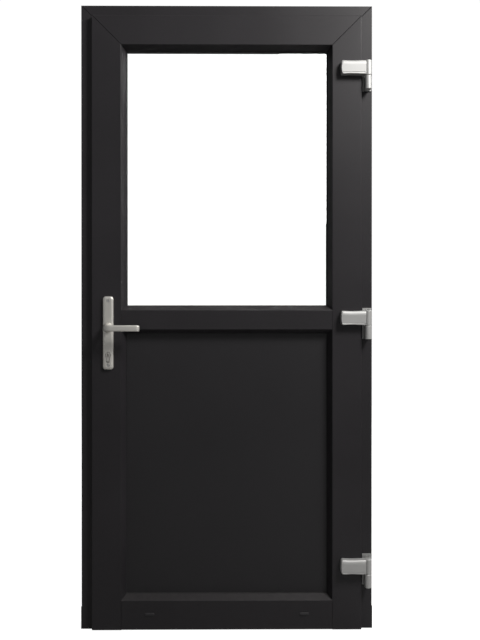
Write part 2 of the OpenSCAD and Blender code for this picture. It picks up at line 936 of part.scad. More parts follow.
// Four mitred beads round an opening
module bead_frame(z0, z1) {
    g = bead_gap;
    both_sides() within([[-floor_x, z0], [-floor_x, z1], [bead_w - floor_x, z1 - bead_w],
            [bead_w - floor_x, z0 + bead_w]])
        upright(-floor_x, z0, z1) bead_section();
    for (side = [0, 1])
        translate([0, 0, side * (z0 + z1)]) mirror([0, 0, side])
            within([[g - floor_x, z0], [floor_x - g, z0], [floor_x - bead_w - g, z0 + bead_w],
                    [g + bead_w - floor_x, z0 + bead_w]])
                level_low(floor_x, z0) bead_section();
}

module glass_beads() {
    color(plastic) bead_frame(window_low, window_high);
}

module panel_beads() {
    color(plastic) bead_frame(panel_low, panel_high);
}

// ---- Lock ----

module lock_faceplate() {
    s = slide_gap;
    color(silver) difference() {
        span([lock_x, lock_y - faceplate_w / 2, faceplate_low],
            [lock_x + faceplate_t, lock_y + faceplate_w / 2, faceplate_high]);
        for (c = [[latch_z, latch_h, latch_w], [bolt_z, bolt_h, bolt_w]])
            span([lock_x - 1, lock_y - c[2] / 2 - s, c[0] - c[1] / 2 - s],
                [lock_x + faceplate_t + 1, lock_y + c[2] / 2 + s, c[0] + c[1] / 2 + s]);
        for (z = hook_zs)
            span([lock_x - 1, lock_y - hook_t / 2 - s, z - hook_boss_r - s],
                [lock_x + faceplate_t + 1, lock_y + hook_t / 2 + s, z + hook_l]);
        for (z = lock_screw_z) {
            along_x(lock_y, z, lock_screw_r + run_fit, lock_x - 1, lock_x + faceplate_t + 1);
            along_x(lock_y, z, handle_head_r + run_fit, lock_x - 1, lock_x + screw_head_h);
        }
        along_x(lock_y, cylinder_screw_z, lock_screw_r + run_fit, lock_x - 1, lock_x + 9);
        along_x(lock_y, cylinder_screw_z, handle_head_r + run_fit, lock_x - 1,
            lock_x + screw_head_h);
    }
}

// Folded case, open towards the faceplate
module lock_case() {
    y = case_t / 2;
    w = case_wall;
    color(steel) difference() {
        span([lock_x + faceplate_t, lock_y - y, case_low], [lock_x + case_back, lock_y + y, case_high]);
        span([lock_x, lock_y - y + w, case_low + w],
            [lock_x + case_back - w, lock_y + y - w, case_high - w]);
        slab(lock_y - y - 1, lock_y + y + 1) key_outline(0.3);
        along_y(handle_x, handle_z, follower_r + run_fit, lock_y - y - 1, lock_y + y + 1);
        for (z = handle_screw_z)
            along_y(handle_x, z, handle_screw_r + 0.5, lock_y - y - 1, lock_y + y + 1);
    }
}

// Case and fixed pivot pin of each hook
module hook_cases() {
    y = case_t / 2;
    w = case_wall;
    color(steel) for (z = hook_zs) {
        difference() {
            span([lock_x + faceplate_t, lock_y - y, z - hook_boss_r - 8],
                [lock_x + hook_case_back, lock_y + y, z + hook_l + 6]);
            span([lock_x, lock_y - y + w, z - hook_boss_r - 8 + w],
                [lock_x + hook_case_back - w, lock_y + y - w, z + hook_l + 6 - w]);
        }
        along_y(lock_x + hook_in, z, hook_pin_r, lock_y - y + w, lock_y + y - w);
    }
}

module lock_screws() {
    color(steel) mirror([1, 0, 0]) {
        for (z = lock_screw_z) screw_x(lock_y, z, -lock_x, lock_screw_l);
        screw_x(lock_y, cylinder_screw_z, -lock_x, backset + 3);
    }
}

module latch_bolt() {
    y0 = lock_y - latch_w / 2;
    y1 = lock_y + latch_w / 2;
    tip = lock_x - latch_throw;
    neck = lock_x + faceplate_t + 3;
    color(silver) {
        translate([0, 0, latch_z - latch_h / 2]) linear_extrude(latch_h)
            polygon([[neck, y0], [tip, y0], [tip, y0 + 3], [lock_x - 1, y1], [neck, y1]]);
        span([neck, lock_y - 3, latch_z - 5], [neck + 20, lock_y + 3, latch_z + 5]);
    }
}

module deadbolt() {
    color(silver) span([lock_x + 0.2, lock_y - bolt_w / 2, bolt_z - bolt_h / 2],
        [lock_x + bolt_throw + 21, lock_y + bolt_w / 2, bolt_z + bolt_h / 2]);
}

// Hook, standing up inside its case at rest
module hook(z) {
    color(silver) difference() {
        slab(lock_y - hook_t / 2, lock_y + hook_t / 2)
            translate([lock_x + hook_in, z]) {
                circle(r = hook_boss_r);
                polygon(outline([[-hook_w / 2, 0, 0], [hook_w / 2, 0, 0],
                    [hook_w / 2, hook_l, 3], [-hook_w / 2 - 3, hook_l, 1],
                    [-hook_w / 2 - 3, hook_l - 7, 1], [-hook_w / 2, hook_l - 9, 0]]));
            }
        along_y(lock_x + hook_in, z, hook_pin_r + run_fit, lock_y - 20, lock_y + 20);
    }
}

module cylinder_body() {
    color(silver) difference() {
        slab(leaf_front - plate_t - cylinder_proud, leaf_back + plate_t + cylinder_proud)
            key_outline(0);
        along_y(handle_x, key_z, plug_r + run_fit, -far, far);
        span([handle_x - 20, lock_y - cam_gap / 2, cam_floor],
            [handle_x + 20, lock_y + cam_gap / 2, key_z + 20]);
        along_x(lock_y, cylinder_screw_z, lock_screw_r + run_fit, handle_x - 10, handle_x + 3.5);
    }
}

// Both plugs and the cam between them turn together with the key
module cylinder_plug() {
    y0 = leaf_front - plate_t - cylinder_proud;
    y1 = leaf_back + plate_t + cylinder_proud;
    color(steel) difference() {
        union() {
            along_y(handle_x, key_z, plug_r, y0 - 0.5, y1 + 0.5);
            along_y(handle_x, key_z, key_r - 0.6, lock_y - cam_w / 2, lock_y + cam_w / 2);
            span([handle_x - 3.5, lock_y - cam_w / 2, key_z - cam_r],
                [handle_x + 3.5, lock_y + cam_w / 2, key_z]);
        }
        for (y = [y0 - 1, y1 - 11])
            span([handle_x - 1.2, y, key_z - 4.2], [handle_x + 1.2, y + 12, key_z + 4.2]);
    }
}

// ---- Handles ----

// Long plate on one face of the leaf, from depth y0 to y1
module handle_plate(y0, y1, head_y) {
    w = plate_w / 2;
    h = plate_h / 2;
    color(silver) difference() {
        slab(y0, y1) translate([handle_x, handle_mid_z])
            polygon(outline([[-w, -h, 9], [w, -h, 9], [w, h, 9], [-w, h, 9]]));
        along_y(handle_x, handle_z, collar_r + collar_gap, y0 - 1, y1 + 1);
        slab(y0 - 1, y1 + 1) key_outline(0.3);
        for (z = handle_screw_z) {
            along_y(handle_x, z, handle_screw_r + run_fit, y0 - 1, y1 + 1);
            along_y(handle_x, z, handle_head_r + run_fit, y0 - 1, head_y);
        }
    }
}

module handle_plate_outside() {
    y = leaf_front - plate_t;
    handle_plate(y, leaf_front, y + screw_head_h + 0.5);
}

module handle_plate_inside() {
    handle_plate(leaf_back, leaf_back + plate_t, leaf_back - 0.5);
}

module handle_screws() {
    y = leaf_front - plate_t + 0.5;
    color(steel) for (z = handle_screw_z) {
        along_y(handle_x, z, handle_head_r, y, y + screw_head_h);
        along_y(handle_x, z, handle_screw_r, y + screw_head_h, leaf_back + plate_t - 2);
    }
}

// Lever that stands off towards -Y from depth y0
module lever(y0) {
    collar_in = 4;
    x1 = handle_x + lever_l;
    front = y0 - lever_off;
    color(silver) difference() {
        union() {
            along_y(handle_x, handle_z, collar_r, front + lever_t / 2, y0 + collar_in);
            translate([0, 0, handle_z - lever_h / 2]) linear_extrude(lever_h)
                polygon(outline([[handle_x - collar_r, front, 6], [x1, front, 3],
                    [x1 + 2, front + lever_t, 3], [handle_x - collar_r, front + lever_t, 3]]));
        }
        spindle_bar(spindle_w + 2 * spindle_gap, y0 - 30, y0 + 10);
    }
}

// Square bar through both levers
module spindle_bar(w, y0, y1) {
    span([handle_x - w / 2, y0, handle_z - w / 2], [handle_x + w / 2, y1, handle_z + w / 2]);
}

module lever_outside() {
    lever(leaf_front - plate_t);
}

// Mirror image of the outside lever, about the middle of the leaf's depth
module lever_inside() {
    translate([0, leaf_front + leaf_back, 0]) mirror([0, 1, 0]) lever(leaf_front - plate_t);
}

module spindle() {
    y0 = leaf_front - plate_t - 29;
    y1 = leaf_back + plate_t + 29;
    color(steel) spindle_bar(spindle_w, y0, y1);
}

module lock_follower() {
    color(steel) difference() {
        along_y(handle_x, handle_z, follower_r, lock_y - case_t / 2 - 0.5, lock_y + case_t / 2 + 0.5);
        spindle_bar(spindle_w + 2 * spindle_gap, lock_y - 20, lock_y + 20);
    }
}

// ---- Nodes ----

frame_jamb_lock();
frame_jamb_hinge();
frame_head();
frame_steels();
threshold();
threshold_end_blocks();
threshold_screws();
frame_gasket();
keep_blocks();
keep_screws();
hinge_frame_leaf(hinge_z[2]);  // hinge_frame_leaf_top
hinge_frame_leaf(hinge_z[1]);  // hinge_frame_leaf_middle
hinge_frame_leaf(hinge_z[0]);  // hinge_frame_leaf_bottom
hinge_pin(hinge_z[2]);  // hinge_pin_top
hinge_pin(hinge_z[1]);  // hinge_pin_middle
hinge_pin(hinge_z[0]);  // hinge_pin_bottom
hinge_frame_screws();
sash_stile_lock();
sash_stile_hinge();
sash_rail_top();
sash_rail_middle();
sash_rail_bottom();
sash_steels();
sash_gasket();
bottom_seal();
drain_covers();
glass_pane_outside();
glass_pane_inside();
glass_spacer();
glazing_blocks();
glazing_gaskets();
infill_panel();
glass_beads();
panel_beads();
hinge_sash_leaf(hinge_z[2]);  // hinge_sash_leaf_top
hinge_sash_leaf(hinge_z[1]);  // hinge_sash_leaf_middle
hinge_sash_leaf(hinge_z[0]);  // hinge_sash_leaf_bottom
hinge_cover(hinge_z[2]);  // hinge_cover_top
hinge_cover(hinge_z[1]);  // hinge_cover_middle
hinge_cover(hinge_z[0]);  // hinge_cover_bottom
hinge_bushes();
hinge_sash_screws();
lock_faceplate();
lock_case();
hook_cases();
lock_screws();
cylinder_body();
handle_plate_outside();
handle_plate_inside();
handle_screws();
lever_outside();
lever_inside();
spindle();
lock_follower();
latch_bolt();
cylinder_plug();
deadbolt();
hook(hook_high_z);  // hook_upper
hook(hook_low_z);  // hook_lower
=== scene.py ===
"""Half-glazed side door in its frame: fine meshes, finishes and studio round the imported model."""
import json
import logging
import math
from dataclasses import dataclass, field
from enum import Enum
from typing import Iterable, Sequence

import bmesh
import bpy
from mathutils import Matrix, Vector
from mathutils.geometry import tessellate_polygon


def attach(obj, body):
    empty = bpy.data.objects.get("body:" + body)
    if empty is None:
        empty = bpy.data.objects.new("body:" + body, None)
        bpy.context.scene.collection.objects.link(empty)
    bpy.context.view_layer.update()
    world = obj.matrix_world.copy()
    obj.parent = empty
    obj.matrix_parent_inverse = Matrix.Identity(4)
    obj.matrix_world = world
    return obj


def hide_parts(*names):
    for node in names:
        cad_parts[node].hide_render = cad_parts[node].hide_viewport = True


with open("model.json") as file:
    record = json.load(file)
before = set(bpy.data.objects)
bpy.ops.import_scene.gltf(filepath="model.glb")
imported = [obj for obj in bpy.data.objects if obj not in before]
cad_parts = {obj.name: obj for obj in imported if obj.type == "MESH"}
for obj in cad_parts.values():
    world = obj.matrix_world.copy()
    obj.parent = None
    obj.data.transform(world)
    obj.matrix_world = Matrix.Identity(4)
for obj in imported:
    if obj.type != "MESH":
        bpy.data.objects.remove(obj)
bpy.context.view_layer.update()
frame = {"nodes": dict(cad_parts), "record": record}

LOG = logging.getLogger("door")
MM = 0.001
Point = tuple[float, float]
Triple = tuple[float, float, float]
WELD = 1e-6  # metres within which a new mesh's points are merged
NODE_WELD = 2e-6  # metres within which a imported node's points are merged
FLAT_ANGLE = 0.3  # degrees under which neighbouring faces count as one
SMOOTH_ANGLE = 33.0  # degrees above which an edge stays sharp
SEAM_ANGLE = 14.0  # the same, on a piece with weld or joint lines
RUBBER_ANGLE = 50.0  # the same, on soft pieces
MIX_SHARE, MIX_FIRST, MIX_SECOND, MIX_COLOUR = 0, 6, 7, 2  # colour sockets of a Mix node


class Body(Enum):
    """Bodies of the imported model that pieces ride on."""

    FRAME = "frame"
    LEAF = "leaf"
    LEVER = "lever"
    LATCH = "latch"
    KEY = "key_plug"
    DEADBOLT = "deadbolt"
    HOOK_UPPER = "hook_upper"
    HOOK_LOWER = "hook_lower"


class Slot(Enum):
    """Material slots of the record."""

    PROFILE = "dark_profile"
    PLASTIC = "dark_plastic"
    PANEL = "panel_skin"
    RUBBER = "seal_rubber"
    GLASS = "clear_glass"
    SPACER = "spacer_aluminium"
    PALE = "pale_plastic"
    ZINC = "zinc_steel"
    STEEL = "hardware_steel"
    MILL = "threshold_aluminium"
    HINGE = "hinge_silver"
    HANDLE = "handle_silver"
    NICKEL = "cylinder_nickel"


class Way(Enum):
    """Directions that a screw's head may face."""

    OUTSIDE = (0.0, -1.0, 0.0)
    HINGE_SIDE = (1.0, 0.0, 0.0)
    LOCK_SIDE = (-1.0, 0.0, 0.0)


# ---- Shared shader groups ----


@dataclass(frozen=True)
class GroupSocket:
    """One named input or output of a node group.

    Args:
        name: Name of the socket.
        kind: Socket type without its "NodeSocket" start.
        value: Default value, or None.
    """

    name: str
    kind: str
    value: float | Triple | tuple[float, float, float, float] | None = None


def new_group(name: str, tree_type: str, inputs: Sequence[GroupSocket],
              outputs: Sequence[GroupSocket]) -> tuple[bpy.types.NodeTree, bpy.types.Node,
                                                       bpy.types.Node]:
    """Makes an empty node group with its sockets.

    Args:
        name: Name of the group.
        tree_type: "ShaderNodeTree" or "GeometryNodeTree".
        inputs: Sockets of the group's input side.
        outputs: Sockets of the group's output side.

    Returns:
        The group, its input node and its output node.
    """
    group = bpy.data.node_groups.new(name, tree_type)
    for side, sockets in (("INPUT", inputs), ("OUTPUT", outputs)):
        for socket in sockets:
            made = group.interface.new_socket(socket.name, in_out=side,
                                              socket_type="NodeSocket" + socket.kind)
            if socket.value is not None:
                made.default_value = socket.value
    return group, group.nodes.new("NodeGroupInput"), group.nodes.new("NodeGroupOutput")


def math_node(tree: bpy.types.NodeTree, operation: str, first: object, second: object,
              clamp: bool = False) -> bpy.types.NodeSocket:
    """Adds a Math node.

    Args:
        tree: Tree that receives the node.
        operation: Name of the operation.
        first: A socket or a number.
        second: A socket or a number.
        clamp: Whether the result stays between 0 and 1.

    Returns:
        The node's output.
    """
    node = tree.nodes.new("ShaderNodeMath")
    node.operation = operation
    node.use_clamp = clamp
    for place, value in zip(node.inputs, (first, second)):
        if isinstance(value, bpy.types.NodeSocket):
            tree.links.new(value, place)
        else:
            place.default_value = value
    return node.outputs[0]


def noise_node(tree: bpy.types.NodeTree, where: bpy.types.NodeSocket, scale: object,
               detail: float, rough: float = 0.5) -> bpy.types.NodeSocket:
    """Adds a Noise Texture and returns its factor.

    Args:
        tree: Tree that receives the node.
        where: Position socket.
        scale: A socket or a number.
        detail: Octaves.
        rough: Strength of the finer octaves.

    Returns:
        The factor output.
    """
    node = tree.nodes.new("ShaderNodeTexNoise")
    node.inputs["Detail"].default_value = detail
    node.inputs["Roughness"].default_value = rough
    tree.links.new(where, node.inputs["Vector"])
    if isinstance(scale, bpy.types.NodeSocket):
        tree.links.new(scale, node.inputs["Scale"])
    else:
        node.inputs["Scale"].default_value = scale
    return node.outputs[0]


def colour_mix(tree: bpy.types.NodeTree, share: bpy.types.NodeSocket, first: bpy.types.NodeSocket,
               second: bpy.types.NodeSocket) -> bpy.types.NodeSocket:
    """Adds a colour Mix node and returns its result.

    Args:
        tree: Tree that receives the node.
        share: Share of the second colour.
        first: First colour.
        second: Second colour.

    Returns:
        The mixed colour.
    """
    node = tree.nodes.new("ShaderNodeMix")
    node.data_type = "RGBA"
    for start, place in ((share, MIX_SHARE), (first, MIX_FIRST), (second, MIX_SECOND)):
        tree.links.new(start, node.inputs[place])
    return node.outputs[MIX_COLOUR]


class SharedGroups:
    """The shader groups that every finish draws on."""

    FINER = 2.7
    LEAN = 0.35
    LEAN_GAIN = 1.6
    PATCH_SCALE = 45.0

    def __init__(self) -> None:
        """Builds the groups once."""
        self.grain = self.build_grain()
        self.drift = self.build_drift()
        self.dust = self.build_dust()

    def build_grain(self) -> bpy.types.NodeTree:
        """Builds the fine grain: embossed foil, moulded texture or brushed lines.

        Returns:
            A group from a position to a height and a 0 to 1 tone.
        """
        group, enter, leave = new_group(
            "fine_grain", "ShaderNodeTree",
            [GroupSocket("Position", "Vector"), GroupSocket("Stretch", "Vector", (1.0, 1.0, 1.0)),
             GroupSocket("Scale", "Float", 900.0), GroupSocket("Speckle", "Float", 0.35)],
            [GroupSocket("Height", "Float"), GroupSocket("Tone", "Float")])
        stretch = group.nodes.new("ShaderNodeVectorMath")
        stretch.operation = "MULTIPLY"
        group.links.new(enter.outputs["Position"], stretch.inputs[0])
        group.links.new(enter.outputs["Stretch"], stretch.inputs[1])
        where = stretch.outputs[0]
        coarse = noise_node(group, where, enter.outputs["Scale"], 3.0, 0.55)
        finer = math_node(group, "MULTIPLY", enter.outputs["Scale"], self.FINER)
        speckle = noise_node(group, where, finer, 1.0)
        share = math_node(group, "MULTIPLY", speckle, enter.outputs["Speckle"])
        height = math_node(group, "ADD", coarse, share)
        group.links.new(height, leave.inputs["Height"])
        group.links.new(coarse, leave.inputs["Tone"])
        return group

    def build_drift(self) -> bpy.types.NodeTree:
        """Builds the slow drift of colour and gloss over a surface.

        Returns:
            A group from a position and two colours to a colour and a roughness.
        """
        group, enter, leave = new_group(
            "slow_drift", "ShaderNodeTree",
            [GroupSocket("Position", "Vector"), GroupSocket("Tone", "Float", 0.5),
             GroupSocket("Colour", "Color"), GroupSocket("Deep Colour", "Color"),
             GroupSocket("Scale", "Float", 6.0), GroupSocket("Roughness", "Float", 0.4),
             GroupSocket("Spread", "Float", 0.08)],
            [GroupSocket("Colour", "Color"), GroupSocket("Roughness", "Float")])
        slow = noise_node(group, enter.outputs["Position"], enter.outputs["Scale"], 2.0)
        both = math_node(group, "ADD", slow, enter.outputs["Tone"])
        share = math_node(group, "SUBTRACT", both, 0.5, True)
        colour = colour_mix(group, share, enter.outputs["Deep Colour"], enter.outputs["Colour"])
        centred = math_node(group, "SUBTRACT", both, 1.0)
        swing = math_node(group, "MULTIPLY", centred, enter.outputs["Spread"])
        rough = math_node(group, "ADD", enter.outputs["Roughness"], swing, True)
        group.links.new(colour, leave.inputs["Colour"])
        group.links.new(rough, leave.inputs["Roughness"])
        return group

    def build_dust(self) -> bpy.types.NodeTree:
        """Builds the thin dust that settles on faces that look up.

        Returns:
            A group from a colour and roughness to the dusty colour and roughness.
        """
        group, enter, leave = new_group(
            "settled_dust", "ShaderNodeTree",
            [GroupSocket("Position", "Vector"), GroupSocket("Colour", "Color"),
             GroupSocket("Dust Colour", "Color", (0.42, 0.40, 0.37, 1.0)),
             GroupSocket("Roughness", "Float", 0.4), GroupSocket("Amount", "Float", 0.1)],
            [GroupSocket("Colour", "Color"), GroupSocket("Roughness", "Float")])
        geometry = group.nodes.new("ShaderNodeNewGeometry")
        split = group.nodes.new("ShaderNodeSeparateXYZ")
        group.links.new(geometry.outputs["Normal"], split.inputs[0])
        lean = math_node(group, "SUBTRACT", split.outputs[2], self.LEAN)
        upward = math_node(group, "MULTIPLY", lean, self.LEAN_GAIN, True)
        patchy = noise_node(group, enter.outputs["Position"], self.PATCH_SCALE, 4.0, 0.6)
        mask = math_node(group, "MULTIPLY", math_node(group, "MULTIPLY", upward, patchy),
                         enter.outputs["Amount"], True)
        group.links.new(colour_mix(group, mask, enter.outputs["Colour"],
                                   enter.outputs["Dust Colour"]), leave.inputs["Colour"])
        rough = math_node(group, "ADD", enter.outputs["Roughness"], mask, True)
        group.links.new(rough, leave.inputs["Roughness"])
        return group


@dataclass(frozen=True)
class SurfaceFinish:
    """One finish of the door: foil, moulded plastic, rubber, plated or anodised metal.

    Args:
        name: Material name.
        colour: Main colour, linear.
        deep: Colour that the drift falls back to.
        roughness: Middle roughness.
        spread: How far the roughness drifts.
        metallic: 1 for metal.
        scale: Grain scale, per metre.
        stretch: Scale factors of the grain along each axis.
        depth: Height of the grain in metres.
        speckle: Share of the finest grain.
        drift: Scale of the slow drift, per metre.
        dust: Amount of settled dust.
        specular: Specular level.
        glow: Own light that only the eye sees, for the studio floor.
    """

    name: str
    colour: Triple
    deep: Triple
    roughness: float
    spread: float = 0.08
    metallic: float = 0.0
    scale: float = 900.0
    stretch: Triple = (1.0, 1.0, 1.0)
    depth: float = 0.00002
    speckle: float = 0.35
    drift: float = 6.0
    dust: float = 0.08
    specular: float = 0.5
    glow: float = 0.0

    def build(self, groups: SharedGroups) -> bpy.types.Material:
        """Builds the material.

        Args:
            groups: The shared shader groups.

        Returns:
            The finished material.
        """
        material = bpy.data.materials.new(self.name)
        material.use_nodes = True
        tree = material.node_tree
        shader = tree.nodes["Principled BSDF"]
        shader.inputs["Metallic"].default_value = self.metallic
        shader.inputs["Specular IOR Level"].default_value = self.specular
        where = tree.nodes.new("ShaderNodeTexCoord").outputs["Object"]
        grain = self.place(tree, groups.grain, where, {
            "Stretch": self.stretch, "Scale": self.scale, "Speckle": self.speckle})
        drift = self.place(tree, groups.drift, where, {
            "Colour": (*self.colour, 1.0), "Deep Colour": (*self.deep, 1.0),
            "Scale": self.drift, "Roughness": self.roughness, "Spread": self.spread})
        dust = self.place(tree, groups.dust, where, {"Amount": self.dust})
        bump = tree.nodes.new("ShaderNodeBump")
        bump.inputs["Strength"].default_value = 1.0
        bump.inputs["Distance"].default_value = self.depth
        for start, end in ((grain.outputs["Tone"], drift.inputs["Tone"]),
                           (drift.outputs["Colour"], dust.inputs["Colour"]),
                           (drift.outputs["Roughness"], dust.inputs["Roughness"]),
                           (dust.outputs["Colour"], shader.inputs["Base Color"]),
                           (dust.outputs["Roughness"], shader.inputs["Roughness"]),
                           (grain.outputs["Height"], bump.inputs["Height"]),
                           (bump.outputs["Normal"], shader.inputs["Normal"])):
            tree.links.new(start, end)
        if self.glow:
            path = tree.nodes.new("ShaderNodeLightPath")
            seen = math_node(tree, "MULTIPLY", path.outputs["Is Camera Ray"], self.glow)
            shader.inputs["Emission Color"].default_value = (1.0, 1.0, 1.0, 1.0)
            tree.links.new(seen, shader.inputs["Emission Strength"])
        return material

    def place(self, tree: bpy.types.NodeTree, group: bpy.types.NodeTree,
              where: bpy.types.NodeSocket, values: dict[str, object]) -> bpy.types.Node:
        """Places a shared group in the material.

        Args:
            tree: The material's tree.
            group: The shared group.
            where: Position socket.
            values: Values by input name.

        Returns:
            The group node.
        """
        node = tree.nodes.new("ShaderNodeGroup")
        node.node_tree = group
        tree.links.new(where, node.inputs["Position"])
        for name, value in values.items():
            node.inputs[name].default_value = value
        return node


@dataclass(frozen=True)
class GlassFinish:
    """Clear float glass with the faintest green in its thickness.

    Args:
        name: Material name.
        tint: Colour, linear.
        smear: Largest roughness of the film on it.
        smear_scale: Scale of that film, per metre.
        ior: Index of refraction.
    """

    name: str = "float_glass"
    tint: Triple = (0.985, 0.997, 0.990)
    smear: float = 0.012
    smear_scale: float = 3.0
    ior: float = 1.45

    def build(self, groups: SharedGroups) -> bpy.types.Material:
        """Builds the glass.

        Args:
            groups: The shared shader groups.

        Returns:
            The glass material.
        """
        material = bpy.data.materials.new(self.name)
        material.use_nodes = True
        tree = material.node_tree
        shader = tree.nodes["Principled BSDF"]
        shader.inputs["Base Color"].default_value = (*self.tint, 1.0)
        shader.inputs["Transmission Weight"].default_value = 1.0
        shader.inputs["IOR"].default_value = self.ior
        where = tree.nodes.new("ShaderNodeTexCoord").outputs["Object"]
        grain = tree.nodes.new("ShaderNodeGroup")
        grain.node_tree = groups.grain
        tree.links.new(where, grain.inputs["Position"])
        grain.inputs["Scale"].default_value = self.smear_scale
        film = math_node(tree, "MULTIPLY", grain.outputs["Tone"], self.smear, True)
        tree.links.new(film, shader.inputs["Roughness"])
        return material


class Palette:
    """Every finish of the door by its slot, and the floor."""

    FINISHES: dict[Slot, SurfaceFinish | GlassFinish] = {
        Slot.PROFILE: SurfaceFinish(
            "anthracite_foil", (0.0235, 0.0215, 0.0245), (0.0125, 0.0112, 0.0130), 0.44,
            spread=0.12, scale=420.0, depth=0.00006, drift=3.0, dust=0.05, specular=0.36),
        Slot.PLASTIC: SurfaceFinish(
            "dark_moulded_plastic", (0.024, 0.023, 0.026), (0.014, 0.013, 0.015), 0.50,
            scale=1400.0, depth=0.00003, dust=0.05),
        Slot.PANEL: SurfaceFinish(
            "anthracite_panel_foil", (0.0190, 0.0180, 0.0200), (0.0130, 0.0122, 0.0140), 0.47,
            spread=0.10, scale=380.0, depth=0.00005, drift=2.2, dust=0.03, specular=0.38),
        Slot.RUBBER: SurfaceFinish(
            "black_seal_rubber", (0.012, 0.012, 0.013), (0.007, 0.007, 0.008), 0.66,
            spread=0.12, scale=1600.0, depth=0.00003, drift=14.0, dust=0.10, specular=0.35),
        Slot.GLASS: GlassFinish(),
        Slot.SPACER: SurfaceFinish(
            "anodised_spacer", (0.30, 0.30, 0.31), (0.24, 0.24, 0.25), 0.42, metallic=1.0,
            scale=700.0, depth=0.00001, dust=0.0),
        Slot.PALE: SurfaceFinish(
            "pale_moulded_plastic", (0.62, 0.62, 0.60), (0.52, 0.52, 0.50), 0.48, scale=1200.0),
        Slot.ZINC: SurfaceFinish(
            "zinc_plated_steel", (0.50, 0.51, 0.53), (0.38, 0.39, 0.40), 0.36, spread=0.18,
            metallic=1.0, scale=260.0, depth=0.00002, drift=30.0, dust=0.03),
        Slot.STEEL: SurfaceFinish(
            "bright_screw_steel", (0.72, 0.72, 0.71), (0.58, 0.58, 0.58), 0.32, spread=0.14,
            metallic=1.0, scale=2200.0, depth=0.00001, drift=60.0, dust=0.02),
        Slot.MILL: SurfaceFinish(
            "mill_aluminium", (0.56, 0.56, 0.57), (0.44, 0.44, 0.45), 0.40, spread=0.14,
            metallic=1.0, scale=60.0, stretch=(1.0, 40.0, 40.0), depth=0.000012, drift=9.0,
            dust=0.16),
        Slot.HINGE: SurfaceFinish(
            "satin_silver_lacquer", (0.49, 0.49, 0.485), (0.43, 0.43, 0.425), 0.53, spread=0.08,
            metallic=0.45, scale=2400.0, depth=0.000008, drift=20.0, dust=0.04),
        Slot.HANDLE: SurfaceFinish(
            "satin_warm_silver", (0.71, 0.695, 0.655), (0.63, 0.615, 0.58), 0.54, spread=0.10,
            metallic=0.85, scale=300.0, stretch=(6.0, 6.0, 1.0), depth=0.000008, drift=16.0,
            dust=0.04),
        Slot.NICKEL: SurfaceFinish(
            "satin_nickel", (0.76, 0.74, 0.70), (0.66, 0.64, 0.60), 0.34, spread=0.10,
            metallic=1.0, scale=900.0, stretch=(1.0, 8.0, 1.0), depth=0.00001, drift=40.0,
            dust=0.02),
    }
    FLOOR = SurfaceFinish(
        "pale_floor", (0.40, 0.40, 0.40), (0.38, 0.38, 0.38), 0.85, scale=30.0,
        depth=0.0001, drift=0.6, dust=0.0, specular=0.05, glow=1.0)

    def __init__(self) -> None:
        """Builds the shared groups and every material."""
        groups = SharedGroups()
        self.materials = {slot: finish.build(groups) for slot, finish in self.FINISHES.items()}
        self.floor = self.FLOOR.build(groups)

    def of(self, slot: Slot) -> bpy.types.Material:
        """Returns the material of a slot."""
        return self.materials[slot]


# ---- Mesh making ----


def piece_from(name: str, shape: bmesh.types.BMesh, material: bpy.types.Material | None,
               smooth: float = SMOOTH_ANGLE) -> bpy.types.Object:
    """Turns a shape into an object at the origin.

    Args:
        name: Name of the piece.
        shape: Its shape, in metres; it is freed.
        material: Its finish, or None.
        smooth: Angle in degrees above which an edge stays sharp.

    Returns:
        The new object.
    """
    bmesh.ops.remove_doubles(shape, verts=shape.verts, dist=WELD)
    bmesh.ops.recalc_face_normals(shape, faces=shape.faces)
    for face in shape.faces:
        face.smooth = True
    mesh = bpy.data.meshes.new(name)
    shape.to_mesh(mesh)
    shape.free()
    mesh.set_sharp_from_angle(angle=math.radians(smooth))
    if material is not None:
        mesh.materials.append(material)
    piece = bpy.data.objects.new(name, mesh)
    bpy.context.scene.collection.objects.link(piece)
    even_normals(piece)
    return piece


def even_normals(piece: bpy.types.Object) -> None:
    """Lets the large flat faces of a piece keep their own direction at rounded edges."""
    modifier = piece.modifiers.new("even_normals", "WEIGHTED_NORMAL")
    modifier.mode = "FACE_AREA"
    modifier.weight = 100
    modifier.keep_sharp = True
    settle(piece)


def circle(radius: float, steps: int) -> list[Point]:
    """Returns points on a circle about the origin.

    Args:
        radius: Its radius.
        steps: Number of points.

    Returns:
        Its points, turning left.
    """
    return [(radius * math.cos(a), radius * math.sin(a))
            for a in (2 * math.pi * k / steps for k in range(steps))]


def bridge(shape: bmesh.types.BMesh, low: Sequence[bmesh.types.BMVert],
           high: Sequence[bmesh.types.BMVert]) -> None:
    """Joins two rings of as many points with faces.

    Args:
        shape: Receives the faces.
        low: First ring.
        high: Second ring.
    """
    for i in range(len(low)):
        j = (i + 1) % len(low)
        shape.faces.new((low[i], low[j], high[j], high[i]))


def loft(shape: bmesh.types.BMesh, rings: Sequence[Sequence[Sequence[float]]],
         ends: tuple[bool, bool] = (True, True), closed: bool = False) -> None:
    """Joins rings of points, in millimetres, into a skin.

    Args:
        shape: Receives the faces.
        rings: Rings with the same number of points.
        ends: Whether the first and the last ring are capped.
        closed: Whether the last ring joins the first.
    """
    made = [[shape.verts.new(Vector(p) * MM) for p in ring] for ring in rings]
    pairs = list(zip(made, made[1:])) + ([(made[-1], made[0])] if closed else [])
    for low, high in pairs:
        bridge(shape, low, high)
    if not closed:
        for wanted, ring in zip(ends, (made[0], made[-1])):
            if wanted:
                shape.faces.new(ring)


